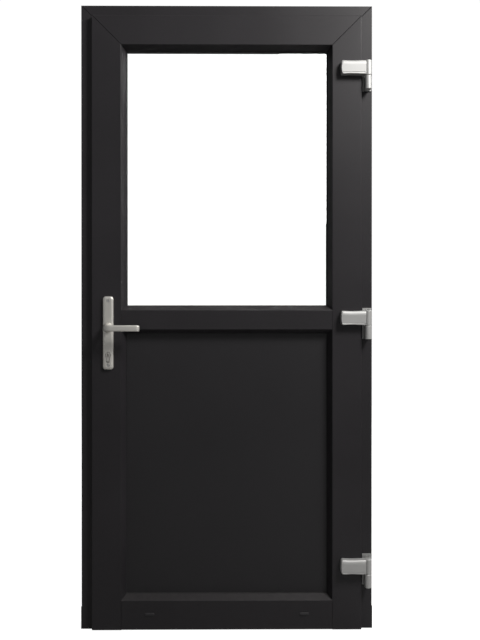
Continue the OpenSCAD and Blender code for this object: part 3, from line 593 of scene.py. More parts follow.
def lathe(shape: bmesh.types.BMesh, profile: Sequence[Point], centre: Triple, way: Triple,
          steps: int = 40) -> None:
    """Turns a profile round an axis into a closed solid.

    Args:
        shape: Receives the faces.
        profile: Points (radius, height) from one end to the other, in millimetres.
        centre: Axis point where the height is 0.
        way: Unit vector of the axis.
        steps: Number of points round the axis.
    """
    axis = Vector(way)
    side = axis.orthogonal().normalized()
    other = axis.cross(side)
    rings = []
    for radius, height in profile:
        radius = max(radius, 0.02)
        rings.append([Vector(centre) + axis * height
                      + (side * math.cos(a) + other * math.sin(a)) * radius
                      for a in (2 * math.pi * k / steps for k in range(steps))])
    loft(shape, rings)


def rounded_rectangle(width: float, height: float, radius: float, steps: int = 6) -> list[Point]:
    """Returns a rounded rectangle about the origin.

    Args:
        width: Width in millimetres.
        height: Height in millimetres.
        radius: Corner radius.
        steps: Points at each corner, less one.

    Returns:
        Its points, turning left.
    """
    points = []
    for k, (sx, sy) in enumerate(((1, 1), (-1, 1), (-1, -1), (1, -1))):
        cx, cy = sx * (width / 2 - radius), sy * (height / 2 - radius)
        for s in range(steps + 1):
            a = math.radians(90 * (k + s / steps))
            points.append((cx + radius * math.cos(a), cy + radius * math.sin(a)))
    return points


def loop_sweep(shape: bmesh.types.BMesh, low: Point, high: Point, profile: Sequence[Point]) -> None:
    """Carries a profile round a rectangle, with mitred corners.

    Args:
        shape: Receives the faces.
        low: Lowest X and Z of the outer edge, in millimetres.
        high: Highest X and Z of the outer edge.
        profile: Points (inward from the edge, Y).
    """
    corners = ((low[0], low[1], 1, 1), (high[0], low[1], -1, 1),
               (high[0], high[1], -1, -1), (low[0], high[1], 1, -1))
    loft(shape, [[(x + sx * d, y, z + sz * d) for d, y in profile] for x, z, sx, sz in corners],
         closed=True)


def edges_above(shape: bmesh.types.BMesh, degrees: float) -> list[bmesh.types.BMEdge]:
    """Returns the outward edges sharper than an angle.

    Args:
        shape: The shape.
        degrees: The angle.

    Returns:
        The sharp edges.
    """
    shape.normal_update()
    limit = math.radians(degrees)
    return [e for e in shape.edges if len(e.link_faces) == 2 and e.calc_face_angle(0.0) > limit]


def soften(shape: bmesh.types.BMesh, width: float, steps: int = 2, degrees: float = 40.0) -> None:
    """Rounds the sharp edges of a shape.

    Args:
        shape: The shape.
        width: Width of the rounding in millimetres.
        steps: Segments.
        degrees: Edges flatter than this stay.
    """
    bmesh.ops.remove_doubles(shape, verts=shape.verts, dist=WELD)
    bmesh.ops.recalc_face_normals(shape, faces=shape.faces)
    bmesh.ops.bevel(shape, geom=edges_above(shape, degrees), offset=width * MM, segments=steps,
                    profile=0.5, affect="EDGES", clamp_overlap=True)


@dataclass(frozen=True)
class Seam:
    """A thin V groove along a weld or a butt joint, on both sides of the door.

    Args:
        path: Its points on the +X side, in millimetres, on the surface.
        across: Direction across it.
        half: Half its width.
        deep: Its depth.
    """

    path: tuple[Triple, ...]
    across: Triple
    half: float = 1.3
    deep: float = 1.4

    def add(self, shape: bmesh.types.BMesh) -> None:
        """Adds the cutters of both sides to a shape.

        Args:
            shape: Receives them.
        """
        depth = Vector((0.0, self.deep, 0.0))
        for side in (1.0, -1.0):
            width = Vector((side * self.across[0], 0.0, self.across[2])).normalized() * self.half
            rings = []
            for x, y, z in self.path:
                centre = Vector((side * x, y, z))
                rings.append([centre + width, centre + depth, centre - width, centre - depth])
            loft(shape, rings)


def fine_copy(node: str, material: bpy.types.Material, seams: Sequence[Seam] = (),
              round_all: float = 0.0) -> bpy.types.Object:
    """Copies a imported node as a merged, smooth mesh.

    Args:
        node: Name of the node.
        material: Its finish.
        seams: Weld and joint lines that are cut into it.
        round_all: Width of a rounding on every sharp edge, or 0.

    Returns:
        The new piece.
    """
    shape = bmesh.new()
    shape.from_mesh(frame["nodes"][node].data)
    bmesh.ops.remove_doubles(shape, verts=shape.verts, dist=NODE_WELD)
    bmesh.ops.dissolve_limit(shape, angle_limit=math.radians(FLAT_ANGLE), verts=shape.verts,
                             edges=shape.edges)
    if round_all:
        soften(shape, round_all)
    bmesh.ops.triangulate(shape, faces=shape.faces)
    piece = piece_from(node + "_fine", shape, material)
    if seams:
        cutter = bmesh.new()
        for seam in seams:
            seam.add(cutter)
        carve(piece, piece_from("seams", cutter, None), SEAM_ANGLE)
    return piece


def carve(piece: bpy.types.Object, cutter: bpy.types.Object, smooth: float) -> None:
    """Cuts one closed mesh out of another and removes the cutter.

    Args:
        piece: The piece that is cut.
        cutter: The closed shape that is taken away.
        smooth: Angle in degrees above which an edge stays sharp.
    """
    modifier = piece.modifiers.new("cut", "BOOLEAN")
    modifier.operation = "DIFFERENCE"
    modifier.solver = "EXACT"
    modifier.object = cutter
    settle(piece)
    mesh = cutter.data
    bpy.data.objects.remove(cutter)
    bpy.data.meshes.remove(mesh)
    piece.data.set_sharp_from_angle(angle=math.radians(smooth))
    even_normals(piece)


def settle(piece: bpy.types.Object) -> None:
    """Turns a piece's modifiers into a plain mesh and removes them."""
    graph = bpy.context.evaluated_depsgraph_get()
    mesh = bpy.data.meshes.new_from_object(piece.evaluated_get(graph))
    old = piece.data
    piece.modifiers.clear()
    piece.data = mesh
    mesh.name = piece.name
    bpy.data.meshes.remove(old)


@dataclass
class Workshop:
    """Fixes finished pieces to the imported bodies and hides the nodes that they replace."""

    palette: Palette
    placed: int = 0

    def place(self, piece: bpy.types.Object, body: Body, slot: Slot, *nodes: str) -> None:
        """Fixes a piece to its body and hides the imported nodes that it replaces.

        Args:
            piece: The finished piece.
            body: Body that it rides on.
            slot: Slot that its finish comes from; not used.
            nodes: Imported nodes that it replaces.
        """
        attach(piece, body.value)
        if nodes:
            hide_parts(*nodes)
        self.placed += 1
        LOG.info("%s on %s: %d faces", piece.name, body.value, len(piece.data.polygons))

    def refine(self, node: str, body: Body, slot: Slot, seams: Sequence[Seam] = (),
               round_all: float = 0.0) -> None:
        """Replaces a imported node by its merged, smooth copy.

        Args:
            node: Name of the node.
            body: Body that it rides on.
            slot: Slot of its finish.
            seams: Weld and joint lines that are cut into it.
            round_all: Width of a rounding on every sharp edge, or 0.
        """
        piece = fine_copy(node, self.palette.of(slot), seams, round_all)
        self.place(piece, body, slot, node)

    def make(self, name: str, shape: bmesh.types.BMesh, body: Body, slot: Slot, smooth: float,
             *nodes: str) -> None:
        """Turns a shape into a piece and places it.

        Args:
            name: Name of the piece.
            shape: Its shape; it is freed.
            body: Body that it rides on.
            slot: Slot of its finish.
            smooth: Angle in degrees above which an edge stays sharp.
            nodes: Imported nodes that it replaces.
        """
        self.place(piece_from(name, shape, self.palette.of(slot), smooth), body, slot, *nodes)

    def dress(self) -> None:
        """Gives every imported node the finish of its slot."""
        for entry in frame["record"]["subparts"]:
            node = frame["nodes"].get(entry["node"])
            if node is None:
                continue
            material = self.palette.of(Slot(entry["material_slot"]))
            if not node.data.materials:
                node.data.materials.append(material)
            for index in range(len(node.material_slots)):
                node.material_slots[index].material = material


# ---- Geometry Nodes ----


def end_pattern(tree: bpy.types.NodeTree, points: bpy.types.NodeSocket,
                pattern: bpy.types.NodeSocket, finish: bpy.types.NodeSocket,
                out: bpy.types.NodeSocket) -> bpy.types.Node:
    """Adds what every pattern ends with: instances, made real, with their finish.

    Args:
        tree: Tree that receives the nodes.
        points: Where the copies stand.
        pattern: What is copied.
        finish: Its material.
        out: Input of the group's output side.

    Returns:
        The node that places the copies.
    """
    stand = tree.nodes.new("GeometryNodeInstanceOnPoints")
    real = tree.nodes.new("GeometryNodeRealizeInstances")
    dress = tree.nodes.new("GeometryNodeSetMaterial")
    for start, end in ((points, stand.inputs["Points"]), (pattern, stand.inputs["Instance"]),
                       (stand.outputs[0], real.inputs[0]),
                       (real.outputs[0], dress.inputs["Geometry"]),
                       (finish, dress.inputs["Material"]), (dress.outputs[0], out)):
        tree.links.new(start, end)
    return stand


@dataclass(frozen=True)
class Screw:
    """Sizes of a screw, in millimetres.

    Args:
        length: Whole length.
        shank: Shank radius.
        head: Head radius.
        head_h: Head height.
        tip_h: Height of the tapered tip.
    """

    length: float
    shank: float = 2.0
    head: float = 4.0
    head_h: float = 2.0
    tip_h: float = 3.0


@dataclass
class ScrewMaker:
    """Stands a recessed screw on every marked point, with Geometry Nodes."""

    palette: Palette
    steps: int = 24
    tree: bpy.types.NodeTree = field(init=False)

    def __post_init__(self) -> None:
        """Builds the tree once."""
        tree, enter, leave = new_group(
            "screws_on_points", "GeometryNodeTree",
            [GroupSocket("Points", "Geometry"), GroupSocket("Screw", "Object"),
             GroupSocket("Finish", "Material")], [GroupSocket("Screws", "Geometry")])
        info = tree.nodes.new("GeometryNodeObjectInfo")
        facing = tree.nodes.new("GeometryNodeInputNamedAttribute")
        facing.data_type = "FLOAT_VECTOR"
        facing.inputs["Name"].default_value = "facing"
        align = tree.nodes.new("FunctionNodeAlignRotationToVector")
        align.axis = "Z"
        stand = end_pattern(tree, enter.outputs["Points"], info.outputs["Geometry"],
                            enter.outputs["Finish"], leave.inputs["Screws"])
        for start, end in ((enter.outputs["Screw"], info.inputs["Object"]),
                           (facing.outputs[0], align.inputs["Vector"]),
                           (align.outputs[0], stand.inputs["Rotation"])):
            tree.links.new(start, end)
        self.tree = tree

    def pattern(self, screw: Screw) -> bpy.types.Object:
        """Makes one screw with a cross recess, its head's top at the origin, facing +Z.

        Args:
            screw: Its sizes.

        Returns:
            The screw.
        """
        shape = bmesh.new()
        head, head_h, shank = screw.head, screw.head_h, screw.shank
        arm, slim, deep = head * 0.58, head * 0.13, head_h * 0.6
        cross = [(slim, slim), (slim, arm), (-slim, arm), (-slim, slim), (-arm, slim),
                 (-arm, -slim), (-slim, -slim), (-slim, -arm), (slim, -arm), (slim, -slim),
                 (arm, -slim), (arm, slim)]
        rim = circle(head * 0.93, self.steps)
        flat = [[Vector((x, y, 0.0)) for x, y in line] for line in (rim, cross)]
        corners = [shape.verts.new(v * MM) for line in flat for v in line]
        for triangle in tessellate_polygon(flat):
            shape.faces.new([corners[i] for i in triangle])
        inner = corners[len(rim):]
        floor = [shape.verts.new(Vector((x * 0.8, y * 0.8, -deep)) * MM) for x, y in cross]
        bridge(shape, inner, floor)
        shape.faces.new(floor)
        previous = corners[:len(rim)]
        for radius, height in ((head, -0.25), (head, -0.45 * head_h), (shank, -head_h),
                               (shank, screw.tip_h - screw.length),
                               (shank * 0.35, -screw.length)):
            ring = [shape.verts.new(Vector((x, y, height)) * MM)
                    for x, y in circle(radius, self.steps)]
            bridge(shape, previous, ring)
            previous = ring
        shape.faces.new(previous)
        return piece_from("screw_pattern", shape, None)

    def stand(self, name: str, places: Iterable[tuple[Triple, Way]],
              screw: Screw) -> bpy.types.Object:
        """Stands screws on points and returns them as one plain mesh.

        Args:
            name: Name of the piece.
            places: Where each head's top is, in millimetres, and where it faces.
            screw: Sizes of the screw.

        Returns:
            The screws.
        """
        points = list(places)
        mesh = bpy.data.meshes.new(name)
        mesh.from_pydata([Vector(p) * MM for p, _ in points], [], [])
        facing = mesh.attributes.new("facing", "FLOAT_VECTOR", "POINT")
        for slot, (_, way) in zip(facing.data, points):
            slot.vector = way.value
        piece = bpy.data.objects.new(name, mesh)
        bpy.context.scene.collection.objects.link(piece)
        pattern = self.pattern(screw)
        modifier = piece.modifiers.new("screws", "NODES")
        modifier.node_group = self.tree
        set_input(modifier, "Screw", pattern)
        set_input(modifier, "Finish", self.palette.of(Slot.STEEL))
        settle(piece)
        bpy.data.objects.remove(pattern)
        return piece


def set_input(modifier: bpy.types.Modifier, name: str, value: object) -> None:
    """Sets a modifier's input by its socket's identifier.

    Args:
        modifier: The Geometry Nodes modifier.
        name: Name of the input.
        value: Its value.
    """
    for item in modifier.node_group.interface.items_tree:
        if item.item_type == "SOCKET" and item.in_out == "INPUT" and item.name == name:
            modifier[item.identifier] = value
            return
    raise KeyError(name)


@dataclass
class RibMaker:
    """Lays equal ribs side by side along Y, with Geometry Nodes."""

    palette: Palette
    tree: bpy.types.NodeTree = field(init=False)

    def __post_init__(self) -> None:
        """Builds the tree once."""
        tree, enter, leave = new_group(
            "ribs_in_a_row", "GeometryNodeTree",
            [GroupSocket("Rib", "Geometry"), GroupSocket("Count", "Int", 6),
             GroupSocket("Start", "Vector"), GroupSocket("Step", "Vector"),
             GroupSocket("Finish", "Material")], [GroupSocket("Ribs", "Geometry")])
        line = tree.nodes.new("GeometryNodeMeshLine")
        line.mode = "OFFSET"
        for name, place in (("Count", "Count"), ("Start", "Start Location"), ("Step", "Offset")):
            tree.links.new(enter.outputs[name], line.inputs[place])
        end_pattern(tree, line.outputs[0], enter.outputs["Rib"], enter.outputs["Finish"],
                    leave.inputs["Ribs"])
        self.tree = tree

    def lay(self, rib: bpy.types.Object, count: int, start: Triple, step: Triple,
            slot: Slot) -> None:
        """Repeats a rib in place.

        Args:
            rib: One rib about the origin; it becomes the row.
            count: Number of ribs.
            start: Place of the first, in millimetres.
            step: Step to the next.
            slot: Slot of the finish.
        """
        modifier = rib.modifiers.new("ribs", "NODES")
        modifier.node_group = self.tree
        set_input(modifier, "Count", count)
        set_input(modifier, "Start", tuple(v * MM for v in start))
        set_input(modifier, "Step", tuple(v * MM for v in step))
        set_input(modifier, "Finish", self.palette.of(slot))
        settle(rib)


# ---- The door's sub-assemblies, sizes in millimetres ----


@dataclass
class FrameAssembly:
    """The frame: welded jambs and head, threshold, its seal and keeps."""

    shop: Workshop
    ribs: RibMaker
    screws: ScrewMaker
    seal_x: float = 430.5
    seal_w: float = 6.0
    seal_top: float = 2040.5
    seal_back: float = 21.0
    seal_front: float = 17.3
    sill_z: float = 20.0
    keep_face: float = -436.0
    lock_y: float = -11.0
    keep_screw_z: tuple[float, ...] = (940, 1063, 486, 536, 1536, 1586)
    keep_screw: Screw = Screw(20.0)
    tread_x: float = 422.0
    tread_y: float = 22.5
    tread_step: float = 2.2
    tread_ribs: int = 6
    welds: tuple[Seam, ...] = (
        Seam(((490.5, -35.0, 2100.5), (444.0, -35.0, 2054.0)), (1.0, 0.0, -1.0)),
        Seam(((490.5, 35.0, 2100.5), (423.0, 35.0, 2033.0)), (1.0, 0.0, -1.0)))

    def build(self) -> None:
        """Builds every piece of the frame."""
        for node in ("frame_jamb_lock", "frame_jamb_hinge", "frame_head"):
            self.shop.refine(node, Body.FRAME, Slot.PROFILE, self.welds)
        self.shop.refine("threshold", Body.FRAME, Slot.MILL)
        self.shop.refine("threshold_end_blocks", Body.FRAME, Slot.PLASTIC, round_all=0.6)
        self.shop.refine("keep_blocks", Body.FRAME, Slot.ZINC)
        self.build_seal()
        self.build_tread()
        places = [((self.keep_face, self.lock_y, z), Way.HINGE_SIDE) for z in self.keep_screw_z]
        keep_screws = self.screws.stand("keep_screws_fine", places, self.keep_screw)
        self.shop.place(keep_screws, Body.FRAME, Slot.STEEL, "keep_screws")

    def build_seal(self) -> None:
        """Builds the bulb seal that runs up both jambs and across the head."""
        w, back, front = self.seal_w, self.seal_back, self.seal_front
        bulb = [(0.0, back), (w, back), (w, back - 1.0), (w - 0.5, front + 1.0),
                (w - 1.8, front + 0.1), (w / 2, front), (1.8, front + 0.1), (0.5, front + 1.0),
                (0.0, back - 1.0)]
        shape = bmesh.new()
        stations = ((-self.seal_x, self.sill_z, 1, 0), (-self.seal_x, self.seal_top, 1, -1),
                    (self.seal_x, self.seal_top, -1, -1), (self.seal_x, self.sill_z, -1, 0))
        loft(shape, [[(x + sx * d, y, z + sz * d) for d, y in bulb] for x, z, sx, sz in stations])
        self.shop.make("frame_gasket_fine", shape, Body.FRAME, Slot.RUBBER, RUBBER_ANGLE,
                       "frame_gasket")

    def build_tread(self) -> None:
        """Builds the fine ribs along the inside edge of the threshold."""
        shape = bmesh.new()
        rib = [(-0.7, -0.2), (0.7, -0.2), (0.45, 0.7), (-0.45, 0.7)]
        loft(shape, [[(x, y, z) for y, z in rib] for x in (-self.tread_x, self.tread_x)])
        row = piece_from("threshold_tread_ribs", shape, None, 20)
        self.ribs.lay(row, self.tread_ribs, (0.0, self.tread_y, self.sill_z),
                      (0.0, self.tread_step, 0.0), Slot.MILL)
        self.shop.place(row, Body.FRAME, Slot.MILL)


@dataclass
class LeafAssembly:
    """The leaf: stiles, rails, seals and drain hoods."""

    shop: Workshop
    outer_x: float = 452.0
    low: float = 4.0
    top: float = 2062.0
    lip_back: float = -39.0
    seal_in: float = 2.0
    seal_w: float = 5.0
    sweep_z: float = 24.0
    sweep_y: float = -11.0
    sweep_x: float = 431.0
    drain_x: float = 259.0
    drain_z: float = 58.0
    drain_w: float = 32.0
    drain_h: float = 8.0
    drain_d: float = 3.0
    drain_wall: float = 0.9
    face_y: float = -53.0
    welds: tuple[Seam, ...] = (
        Seam(((452.5, -53.0, 2062.5), (355.0, -53.0, 1965.0), (339.0, -26.5, 1949.0)),
             (1.0, 0.0, -1.0)),
        Seam(((433.0, 17.0, 2043.0), (360.5, 17.0, 1970.5)), (1.0, 0.0, -1.0)))
    butts: tuple[Seam, ...] = (
        Seam(((354.0, -53.0, 1011.0), (354.0, -53.0, 1075.0)), (1.0, 0.0, 0.0), 0.8, 1.0),
        Seam(((354.0, -53.0, 3.5), (354.0, -53.0, 102.0)), (1.0, 0.0, 0.0), 0.8, 1.0))

    def build(self) -> None:
        """Builds every piece of the leaf's framework."""
        for node in ("sash_stile_lock", "sash_stile_hinge"):
            self.shop.refine(node, Body.LEAF, Slot.PROFILE, self.welds + self.butts)
        self.shop.refine("sash_rail_top", Body.LEAF, Slot.PROFILE, self.welds)
        for node in ("sash_rail_middle", "sash_rail_bottom"):
            self.shop.refine(node, Body.LEAF, Slot.PROFILE, self.butts)
        self.build_seal()
        self.build_sweep()
        self.build_drains()

    def build_seal(self) -> None:
        """Builds the bulb seal behind the leaf's lip."""
        w, back = self.seal_w, self.lip_back
        bulb = [(0.0, back), (w, back), (w, back + 1.0), (w - 0.6, back + 2.7),
                (w - 1.6, back + 3.6), (1.6, back + 3.6), (0.6, back + 2.7), (0.0, back + 1.0)]
        shape = bmesh.new()
        a = self.seal_in
        loop_sweep(shape, (a - self.outer_x, self.low + a), (self.outer_x - a, self.top - a), bulb)
        self.shop.make("sash_gasket_fine", shape, Body.LEAF, Slot.RUBBER, RUBBER_ANGLE,
                       "sash_gasket")

    def build_sweep(self) -> None:
        """Builds the double-finned seal under the leaf."""
        y, z = self.sweep_y, self.sweep_z
        fins = [(-5.0, 0.0), (-5.0, -1.4), (-4.2, -3.5), (-3.2, -3.5), (-2.6, -1.4), (2.6, -1.4),
                (3.2, -3.5), (4.2, -3.5), (5.0, -1.4), (5.0, 0.0)]
        shape = bmesh.new()
        loft(shape, [[(x, y + a, z + b) for a, b in fins] for x in (-self.sweep_x, self.sweep_x)])
        self.shop.make("bottom_seal_fine", shape, Body.LEAF, Slot.RUBBER, RUBBER_ANGLE,
                       "bottom_seal")

    def build_drains(self) -> None:
        """Builds the arched hoods over the drain slots."""
        shape = bmesh.new()
        steps, wall = 16, self.drain_wall
        for side in (-1, 1):
            rings = []
            for k in range(steps + 1):
                t = -1 + 2 * k / steps
                arch = max(1 - t ** 4, 0.0) ** 0.5
                high = self.drain_h * (0.18 + 0.32 * arch)
                out = self.drain_d * (0.35 + 0.65 * arch)
                low = -self.drain_h / 2
                x = side * self.drain_x + t * self.drain_w / 2
                section = [(0.0, high), (out * 0.55, high * 0.96), (out * 0.9, high * 0.55),
                           (out, low * 0.1), (out, low), (out - wall, low),
                           (out - wall, low * 0.1), (out * 0.9 - wall, high * 0.55 - wall * 0.6),
                           (max(out * 0.5 - wall, 0.1), high - wall * 1.2),
                           (0.0, high - wall * 1.4)]
                rings.append([(x, self.face_y - d, self.drain_z + z) for d, z in section])
            loft(shape, rings)
        self.shop.make("drain_covers_fine", shape, Body.LEAF, Slot.PLASTIC, 40.0, "drain_covers")


@dataclass
class GlazingAssembly:
    """The sealed unit, the infill panel, their rubbers and beads."""

    shop: Workshop
    rubber_x: float = 353.0
    bead_x: float = 341.0
    windows: tuple[Point, Point] = ((1076.0, 1963.0), (103.0, 1010.0))
    bead_low_high: tuple[Point, Point] = ((1088.0, 1951.0), (115.0, 998.0))

    def build(self) -> None:
        """Builds the glazing."""
        for node in ("glass_pane_outside", "glass_pane_inside"):
            self.shop.refine(node, Body.LEAF, Slot.GLASS, round_all=0.5)
        self.shop.refine("glass_spacer", Body.LEAF, Slot.SPACER, round_all=0.4)
        self.shop.refine("infill_panel", Body.LEAF, Slot.PANEL, round_all=0.5)
        for node in ("glass_beads", "panel_beads"):
            self.shop.refine(node, Body.LEAF, Slot.PROFILE)
        self.build_rubbers()

    def build_rubbers(self) -> None:
        """Builds the soft lips that show round the glass and the panel."""
        lip = [(0.0, -25.0), (14.2, -25.0), (14.6, -26.0), (14.4, -27.3), (13.9, -28.3),
               (13.3, -28.7), (12.8, -28.0), (0.0, -28.0)]
        wedge = [(0.0, -1.0), (2.2, -1.0), (2.4, 0.4), (1.6, 1.9), (0.4, 2.4), (0.0, 2.4)]
        for name, x, levels, profile, nodes in (
                ("glazing_gaskets_fine", self.rubber_x, self.windows, lip, ("glazing_gaskets",)),
                ("inside_glazing_wedges", self.bead_x, self.bead_low_high, wedge, ())):
            shape = bmesh.new()
            for low, high in levels:
                loop_sweep(shape, (-x, low), (x, high), profile)
            self.shop.make(name, shape, Body.LEAF, Slot.RUBBER, RUBBER_ANGLE, *nodes)


@dataclass
class HingeAssembly:
    """Three flag hinges: covers and upper barrels on the leaf, the rest on the frame."""

    shop: Workshop
    screws: ScrewMaker
    levels: dict[str, float] = field(default_factory=lambda: {
        "bottom": 195.0, "middle": 1025.0, "top": 1859.0})
    axis_x: float = 472.0
    axis_y: float = -61.0
    flag_left: float = 379.0
    flag_right: float = 463.5
    flag_low: float = 1.5
    flag_h: float = 47.0
    flag_front: float = -75.0
    flag_bow: float = 3.4
    flag_corner: float = 5.0
    flag_waist: float = 1.1
    crown: Triple = (15.0, 3.2, 1.6)
    crown_d: float = 7.0
    face_y: float = -53.0
    wall: float = 2.0
    base_face: float = -39.0
    base_screw_up: tuple[float, ...] = (12.0, 30.0, 48.0)
    base_screw: Screw = Screw(34.0, shank=2.4, head=4.4)
    cover_angle: float = 21.0
    crease_up: float = 7.0
    crease_cut: tuple[Point, ...] = ((-0.5, 0.6), (1.5, 0.0), (-0.5, -4.4))

    def build(self) -> None:
        """Builds the three hinges."""
        for name, level in self.levels.items():
            self.shop.refine("hinge_frame_leaf_" + name, Body.FRAME, Slot.HINGE)
            self.shop.refine("hinge_sash_leaf_" + name, Body.LEAF, Slot.HINGE)
            self.build_cover(name, level)
        places = [((self.axis_x, self.base_face, level + up), Way.OUTSIDE)
                  for level in self.levels.values() for up in self.base_screw_up]
        base_screws = self.screws.stand("hinge_frame_screws_fine", places, self.base_screw)
        self.shop.place(base_screws, Body.FRAME, Slot.STEEL, "hinge_frame_screws")

    def outline(self, top: float, side: float, low: float, y: float,
                level: float) -> list[Triple]:
        """Returns the cover's outline at one depth: a shallow arc on the left, waisted edges.

        Args:
            top: How far its upper edge is drawn in.
            side: How far its left end is drawn in.
            low: How far its lower edge is drawn in.
            y: Its depth.
            level: Height of the hinge's joint line.

        Returns:
            Points of the outline.
        """
        mid = level + self.flag_low + self.flag_h / 2
        left, right, steps = self.flag_left + side, self.flag_right, 12
        radius = max(self.flag_corner - side * 0.5, 1.2)
        halves = []
        for inset in (top, low):
            half = self.flag_h / 2 - inset
            turns = [(radius * (1 - math.cos(a)), half - radius + radius * math.sin(a))
                     for a in (math.radians(15 * k) for k in range(6, 0, -1))]
            turns += [(0.0, half - radius), (0.0, (half - radius) / 3)]
            end = [(left + self.flag_bow * (z / half) ** 2 + x, z) for x, z in turns]
            start = end[0][0]
            edge = [(start + (right - start) * k / steps, half - self.flag_waist
                     * math.sin(math.pi * min(1.25 * k / steps, 1.0)) ** 1.5)
                    for k in range(steps, 0, -1)]
            halves.append(edge + end)
        above, below = halves
        below = [(x, -z) for x, z in reversed(below)]
        return [(x, y, mid + z) for x, z in above + below]

    def build_cover(self, name: str, level: float) -> None:
        """Builds a snap-on cover as a closed shell with a creased lower edge.

        Args:
            name: Which hinge.
            level: Height of its joint line.
        """
        front, back, wall, steps = self.flag_front, self.face_y, self.wall, 9
        curve = [(0.0, back)]
        for k in range(steps + 1):
            a = math.radians(90 * k / steps)
            curve.append((1 - math.cos(a), front + self.crown_d * (1 - math.sin(a))))
        top, side, low = self.crown
        rings = [self.outline(top * f, side * f, low * f, y, level) for f, y in reversed(curve)]
        rings += [self.outline(top * f + wall, side * f + wall, low * f + wall,
                               y + wall if y < back else back, level) for f, y in curve]
        shape = bmesh.new()
        loft(shape, rings)
        cover = piece_from(f"hinge_cover_{name}_fine", shape,
                           self.shop.palette.of(Slot.HINGE), self.cover_angle)
        crease = bmesh.new()
        fold = level + self.flag_low + self.crease_up
        path = ((self.flag_left + 5.5, 0.4), (self.flag_right - 9.0, 0.0),
                (self.flag_right - 1.5, 1.4))
        loft(crease, [[(x, front + y, fold + up - dip) for y, up in self.crease_cut]
                      for x, dip in path])
        carve(cover, piece_from("crease", crease, None), self.cover_angle)
        self.shop.place(cover, Body.LEAF, Slot.HINGE, "hinge_cover_" + name)


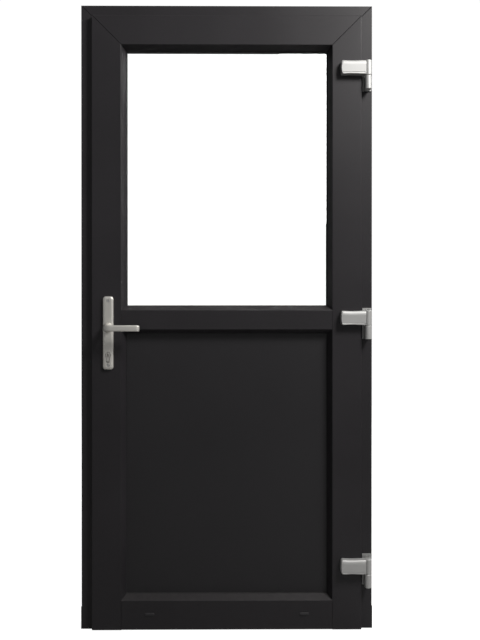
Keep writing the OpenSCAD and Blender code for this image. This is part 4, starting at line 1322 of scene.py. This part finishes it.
@dataclass
class HandleAssembly:
    """Long-plate lever handles on both faces, and the key cylinder."""

    shop: Workshop
    screws: ScrewMaker
    x: float = -396.0
    lever_z: float = 1018.0
    key_z: float = 926.0
    plate_z: float = 999.5
    plate_w: float = 35.0
    plate_h: float = 245.0
    plate_t: float = 10.0
    corner: float = 10.0
    face_y: float = -53.0
    mid_y: float = -18.0
    screw_z: tuple[float, float] = (891.5, 1106.5)
    tip_x: float = -286.0
    grip_h: float = 20.6
    grip_t: float = 14.0
    grip_y: float = -108.0
    bend: float = 17.0
    bend_steps: int = 8
    long_screw: Screw = Screw(87.0, shank=2.5)
    past: float = 2.0
    spindle_hole: float = 10.6
    key_hole: float = 9.4
    key_slot: float = 5.9
    key_slot_down: float = 19.6
    dome: tuple[Point, ...] = ((0.0, 0.0), (0.0, 4.6), (0.5, 6.4), (1.6, 7.9), (3.4, 9.0),
                               (6.0, 9.7), (9.5, 10.0))
    collar: tuple[Point, ...] = ((9.0, -0.6), (16.8, -0.2), (16.8, 1.2), (16.4, 2.2), (15.2, 5.0),
                                 (13.6, 8.6), (12.0, 12.6), (10.8, 15.4), (9.0, 16.4))
    tip: tuple[Triple, ...] = ((2.2, 0.96, 0.4), (5.6, 0.80, 1.8), (7.3, 0.62, 3.0))
    tip_slant: float = 0.04

    def build(self) -> None:
        """Builds plates, levers, screws and cylinder."""
        for build in (self.build_plate, self.build_lever):
            build("outside", False)
            build("inside", True)
        self.shop.refine("cylinder_body", Body.LEAF, Slot.NICKEL)
        self.shop.refine("cylinder_plug", Body.KEY, Slot.NICKEL)
        places = [((self.x, self.face_y - self.plate_t + 0.7, z), Way.OUTSIDE)
                  for z in self.screw_z]
        long_screws = self.screws.stand("handle_screws_fine", places, self.long_screw)
        self.shop.place(long_screws, Body.LEAF, Slot.STEEL, "handle_screws")

    def mirrored(self, rings: list[list[Triple]], inside: bool) -> list[list[Triple]]:
        """Mirrors rings about the middle of the leaf's depth for the inside.

        Args:
            rings: Rings on the outside.
            inside: Whether they are wanted inside.

        Returns:
            The rings in place.
        """
        if not inside:
            return rings
        return [[(x, 2 * self.mid_y - y, z) for x, y, z in ring] for ring in rings]

    def build_plate(self, side: str, inside: bool) -> None:
        """Builds a softly domed long plate.

        Args:
            side: Name of the side.
            inside: Whether it is the inside plate.
        """
        rings = []
        for inset, out in self.dome:
            outline = rounded_rectangle(self.plate_w - 2 * inset, self.plate_h - 2 * inset,
                                        max(self.corner - inset * 0.7, 2.6), 8)
            rings.append([(self.x + a, self.face_y - out, self.plate_z + b) for a, b in outline])
        shape = bmesh.new()
        loft(shape, self.mirrored(rings, inside))
        plate = piece_from(f"handle_plate_{side}_fine", shape,
                           self.shop.palette.of(Slot.HANDLE), 50)
        carve(plate, self.plate_holes(inside), 40.0)
        self.shop.place(plate, Body.LEAF, Slot.HANDLE, "handle_plate_" + side)

    def plate_holes(self, inside: bool) -> bpy.types.Object:
        """Makes the shape of a plate's holes.

        Args:
            inside: Whether it is for the inside plate, which has no countersinks.

        Returns:
            The cutter.
        """
        shape = bmesh.new()
        sign = 1 if inside else -1
        back = 2 * self.mid_y - self.face_y if inside else self.face_y
        slot, down, past = self.key_slot, -self.key_slot_down, self.past
        key = [(self.key_hole * math.cos(a), self.key_hole * math.sin(a))
               for a in (math.radians(-50 + 280 * k / 28) for k in range(29))]
        key += [(-slot, down)] + [(slot * math.cos(a), down + slot * math.sin(a))
                                  for a in (math.radians(195 + 150 * k / 8) for k in range(9))]
        key += [(slot, down)]
        loft(shape, [[(self.x + a, back + sign * d, self.key_z + b) for a, b in key]
                     for d in (-past, self.plate_t + past)])
        way = (0.0, float(sign), 0.0)
        lathe(shape, [(self.spindle_hole, -past), (self.spindle_hole, self.plate_t + past)],
              (self.x, back, self.lever_z), way)
        if not inside:
            for z in self.screw_z:
                lathe(shape, [(2.8, -past), (2.8, self.plate_t - 3.0), (4.7, self.plate_t - 3.0),
                              (4.7, self.plate_t - 0.6), (6.2, self.plate_t + 1.0)],
                      (self.x, back, z), way, 28)
        return piece_from("plate_holes", shape, None)

    def build_lever(self, side: str, inside: bool) -> None:
        """Builds a lever: collar, neck, bend and a grip with a slanted tip.

        Args:
            side: Name of the side.
            inside: Whether it is the inside lever.
        """
        bend, start = self.bend, self.face_y - self.plate_t + 3.0
        stations: list[tuple[float, float, float, float, float, float]] = [
            (self.x, start, 0.0, 10.0, 10.0, 2.0), (self.x, -80.0, 0.0, 9.6, 9.6, 2.0),
            (self.x, self.grip_y + bend + 3, 0.0, 9.7, 9.4, 2.2)]
        for k in range(1, self.bend_steps + 1):
            t = k / self.bend_steps
            a = math.radians(90 * t)
            stations.append((self.x + bend * (1 - math.cos(a)),
                             self.grip_y + bend - bend * math.sin(a), 90 * t,
                             9.8 + 0.5 * t, 9.4 - 2.4 * t, 2.2 + 2.2 * t))
        half_h, half_t = self.grip_h / 2, self.grip_t / 2
        for x, thick in ((-360.0, half_t), (-330.0, half_t), (-300.0, half_t - 0.3),
                         (self.tip_x - 7.5, half_t - 0.4)):
            stations.append((x, self.grip_y, 90.0, half_h, thick, 4.4))
        rings = []
        for x, y, turn, tall, thick, power in stations:
            a = math.radians(turn)
            across = Vector((math.cos(a), math.sin(a), 0.0))
            rings.append(self.section((x, y, self.lever_z), across, tall, thick, power))
        last = rings[-1]
        for forward, shrink, back in self.tip:
            rings.append([(x + forward + self.tip_slant * (z - self.lever_z),
                           self.grip_y + (y - self.grip_y) * shrink + back,
                           self.lever_z + (z - self.lever_z) * (shrink * 0.35 + 0.65) - back * 0.5)
                          for x, y, z in last])
        shape = bmesh.new()
        loft(shape, self.mirrored([[tuple(p) for p in ring] for ring in rings], inside))
        front = self.face_y - self.plate_t
        sign = 1.0 if inside else -1.0
        base = 2 * self.mid_y - front if inside else front
        lathe(shape, self.collar, (self.x, base, self.lever_z), (0.0, sign, 0.0), 48)
        self.shop.make(f"lever_{side}_fine", shape, Body.LEVER, Slot.HANDLE, 34.0,
                       "lever_" + side)

    def section(self, centre: Triple, across: Vector, tall: float, thick: float,
                power: float, steps: int = 36) -> list[Triple]:
        """Returns a superellipse across the lever's path.

        Args:
            centre: Its middle.
            across: Direction of its thickness.
            tall: Half height.
            thick: Half thickness.
            power: 2 for an ellipse, more for a squarer shape.
            steps: Number of points.

        Returns:
            Its points.
        """
        points = []
        for k in range(steps):
            a = 2 * math.pi * k / steps
            c, s = math.cos(a), math.sin(a)
            u = math.copysign(abs(c) ** (2 / power), c) * thick
            v = math.copysign(abs(s) ** (2 / power), s) * tall
            points.append((centre[0] + across.x * u, centre[1] + across.y * u, centre[2] + v))
        return points


@dataclass
class LockAssembly:
    """Faceplate, latch, deadbolt, hooks and their screws."""

    shop: Workshop
    screws: ScrewMaker
    face_x: float = -432.0
    lock_y: float = -11.0
    screw_z: tuple[float, ...] = (460, 680, 855, 1098, 1400, 1610)
    cylinder_screw_z: float = 906.25
    plate_screw: Screw = Screw(15.0)

    def build(self) -> None:
        """Builds the lock's visible pieces."""
        self.shop.refine("lock_faceplate", Body.LEAF, Slot.ZINC)
        self.shop.refine("latch_bolt", Body.LATCH, Slot.ZINC)
        self.shop.refine("deadbolt", Body.DEADBOLT, Slot.ZINC, round_all=0.5)
        for body in (Body.HOOK_UPPER, Body.HOOK_LOWER):
            self.shop.refine(body.value, body, Slot.ZINC)
        places = [((self.face_x, self.lock_y, z), Way.LOCK_SIDE)
                  for z in (*self.screw_z, self.cylinder_screw_z)]
        plate_screws = self.screws.stand("lock_screws_fine", places, self.plate_screw)
        self.shop.place(plate_screws, Body.LEAF, Slot.STEEL, "lock_screws")


@dataclass(frozen=True)
class Lamp:
    """A soft square light that faces the door.

    Args:
        name: Its name.
        place: Where it stands, in metres.
        size: Side in metres.
        power: Power in watts.
        colour: Its colour.
    """

    name: str
    place: Triple
    size: float
    power: float
    colour: Triple


@dataclass
class Studio:
    """Pale floor, soft lights and the camera."""

    palette: Palette
    camera_at: Triple = (0.0109, -2.3778, 1.161)
    camera_turn: Triple = (math.pi / 2 - 0.0031, 0.0, -0.007)
    lens: float = 39.07
    shift: Point = (0.0079, -0.0519)
    floor_half: float = 4.5
    floor_z: float = -0.0005
    floor_steps: int = 64
    backdrop: float = 1.25
    surround: float = 0.035
    gleam: float = 0.34
    target: Triple = (0.0, 0.0, 1.05)
    lamps: tuple[Lamp, ...] = (
        Lamp("key", (1.75, -1.6, 3.2), 0.9, 116.0, (1.0, 0.985, 0.96)),
        Lamp("fill", (-2.6, -2.6, 1.6), 2.2, 1.0, (0.95, 0.97, 1.0)),
        Lamp("inside", (1.4, 3.0, 2.6), 2.0, 90.0, (1.0, 1.0, 1.0)))

    def build(self) -> None:
        """Builds the studio."""
        self.build_floor()
        self.build_world()
        for lamp in self.lamps:
            self.light(lamp)
        self.build_camera()

    def build_floor(self) -> None:
        """Builds the floor under the door."""
        mesh = bpy.data.meshes.new("studio_floor")
        corners = [(x, y, self.floor_z) for x, y in circle(self.floor_half, self.floor_steps)]
        mesh.from_pydata(corners, [], [tuple(range(self.floor_steps))])
        mesh.materials.append(self.palette.floor)
        floor = bpy.data.objects.new("studio_floor", mesh)
        bpy.context.scene.collection.objects.link(floor)

    def build_world(self) -> None:
        """Builds a white surround that lights the room only softly."""
        world = bpy.data.worlds.new("studio")
        world.use_nodes = True
        bpy.context.scene.world = world
        tree = world.node_tree
        tree.nodes.clear()
        out = tree.nodes.new("ShaderNodeOutputWorld")
        light = tree.nodes.new("ShaderNodeBackground")
        path = tree.nodes.new("ShaderNodeLightPath")
        seen = math_node(tree, "ADD", path.outputs["Is Camera Ray"],
                         path.outputs["Is Transmission Ray"], True)
        mirrored = math_node(tree, "ADD", path.outputs["Glossy Depth"],
                             path.outputs["Diffuse Depth"], True)
        direct = math_node(tree, "SUBTRACT", seen, mirrored, True)
        shown = math_node(tree, "MULTIPLY", direct, self.backdrop)
        gleam = math_node(tree, "MULTIPLY", path.outputs["Is Glossy Ray"], self.gleam)
        strength = math_node(tree, "ADD", math_node(tree, "ADD", shown, gleam), self.surround)
        tree.links.new(strength, light.inputs["Strength"])
        tree.links.new(light.outputs[0], out.inputs[0])

    def light(self, lamp: Lamp) -> None:
        """Adds a lamp.

        Args:
            lamp: What it is like.
        """
        data = bpy.data.lights.new(lamp.name, "AREA")
        data.size = lamp.size
        data.energy = lamp.power
        data.color = lamp.colour
        light = bpy.data.objects.new(lamp.name, data)
        light.location = lamp.place
        aim = Vector(self.target) - Vector(lamp.place)
        light.rotation_euler = aim.to_track_quat("-Z", "Y").to_euler()
        bpy.context.scene.collection.objects.link(light)

    def build_camera(self) -> None:
        """Builds the camera."""
        data = bpy.data.cameras.new("camera")
        data.lens = self.lens
        data.shift_x, data.shift_y = self.shift
        camera = bpy.data.objects.new("camera", data)
        camera.location = self.camera_at
        camera.rotation_euler = self.camera_turn
        scene = bpy.context.scene
        scene.collection.objects.link(camera)
        scene.camera = camera
        scene.view_settings.view_transform = "Standard"


def main() -> None:
    """Builds the whole door and its studio."""
    logging.basicConfig(level=logging.INFO, format="%(name)s: %(message)s")
    palette = Palette()
    shop = Workshop(palette)
    screws = ScrewMaker(palette)
    shop.dress()
    FrameAssembly(shop, RibMaker(palette), screws).build()
    LeafAssembly(shop).build()
    GlazingAssembly(shop).build()
    HingeAssembly(shop, screws).build()
    HandleAssembly(shop, screws).build()
    LockAssembly(shop, screws).build()
    Studio(palette).build()
    LOG.info("%d pieces placed", shop.placed)


if __name__ == "__main__":
    main()
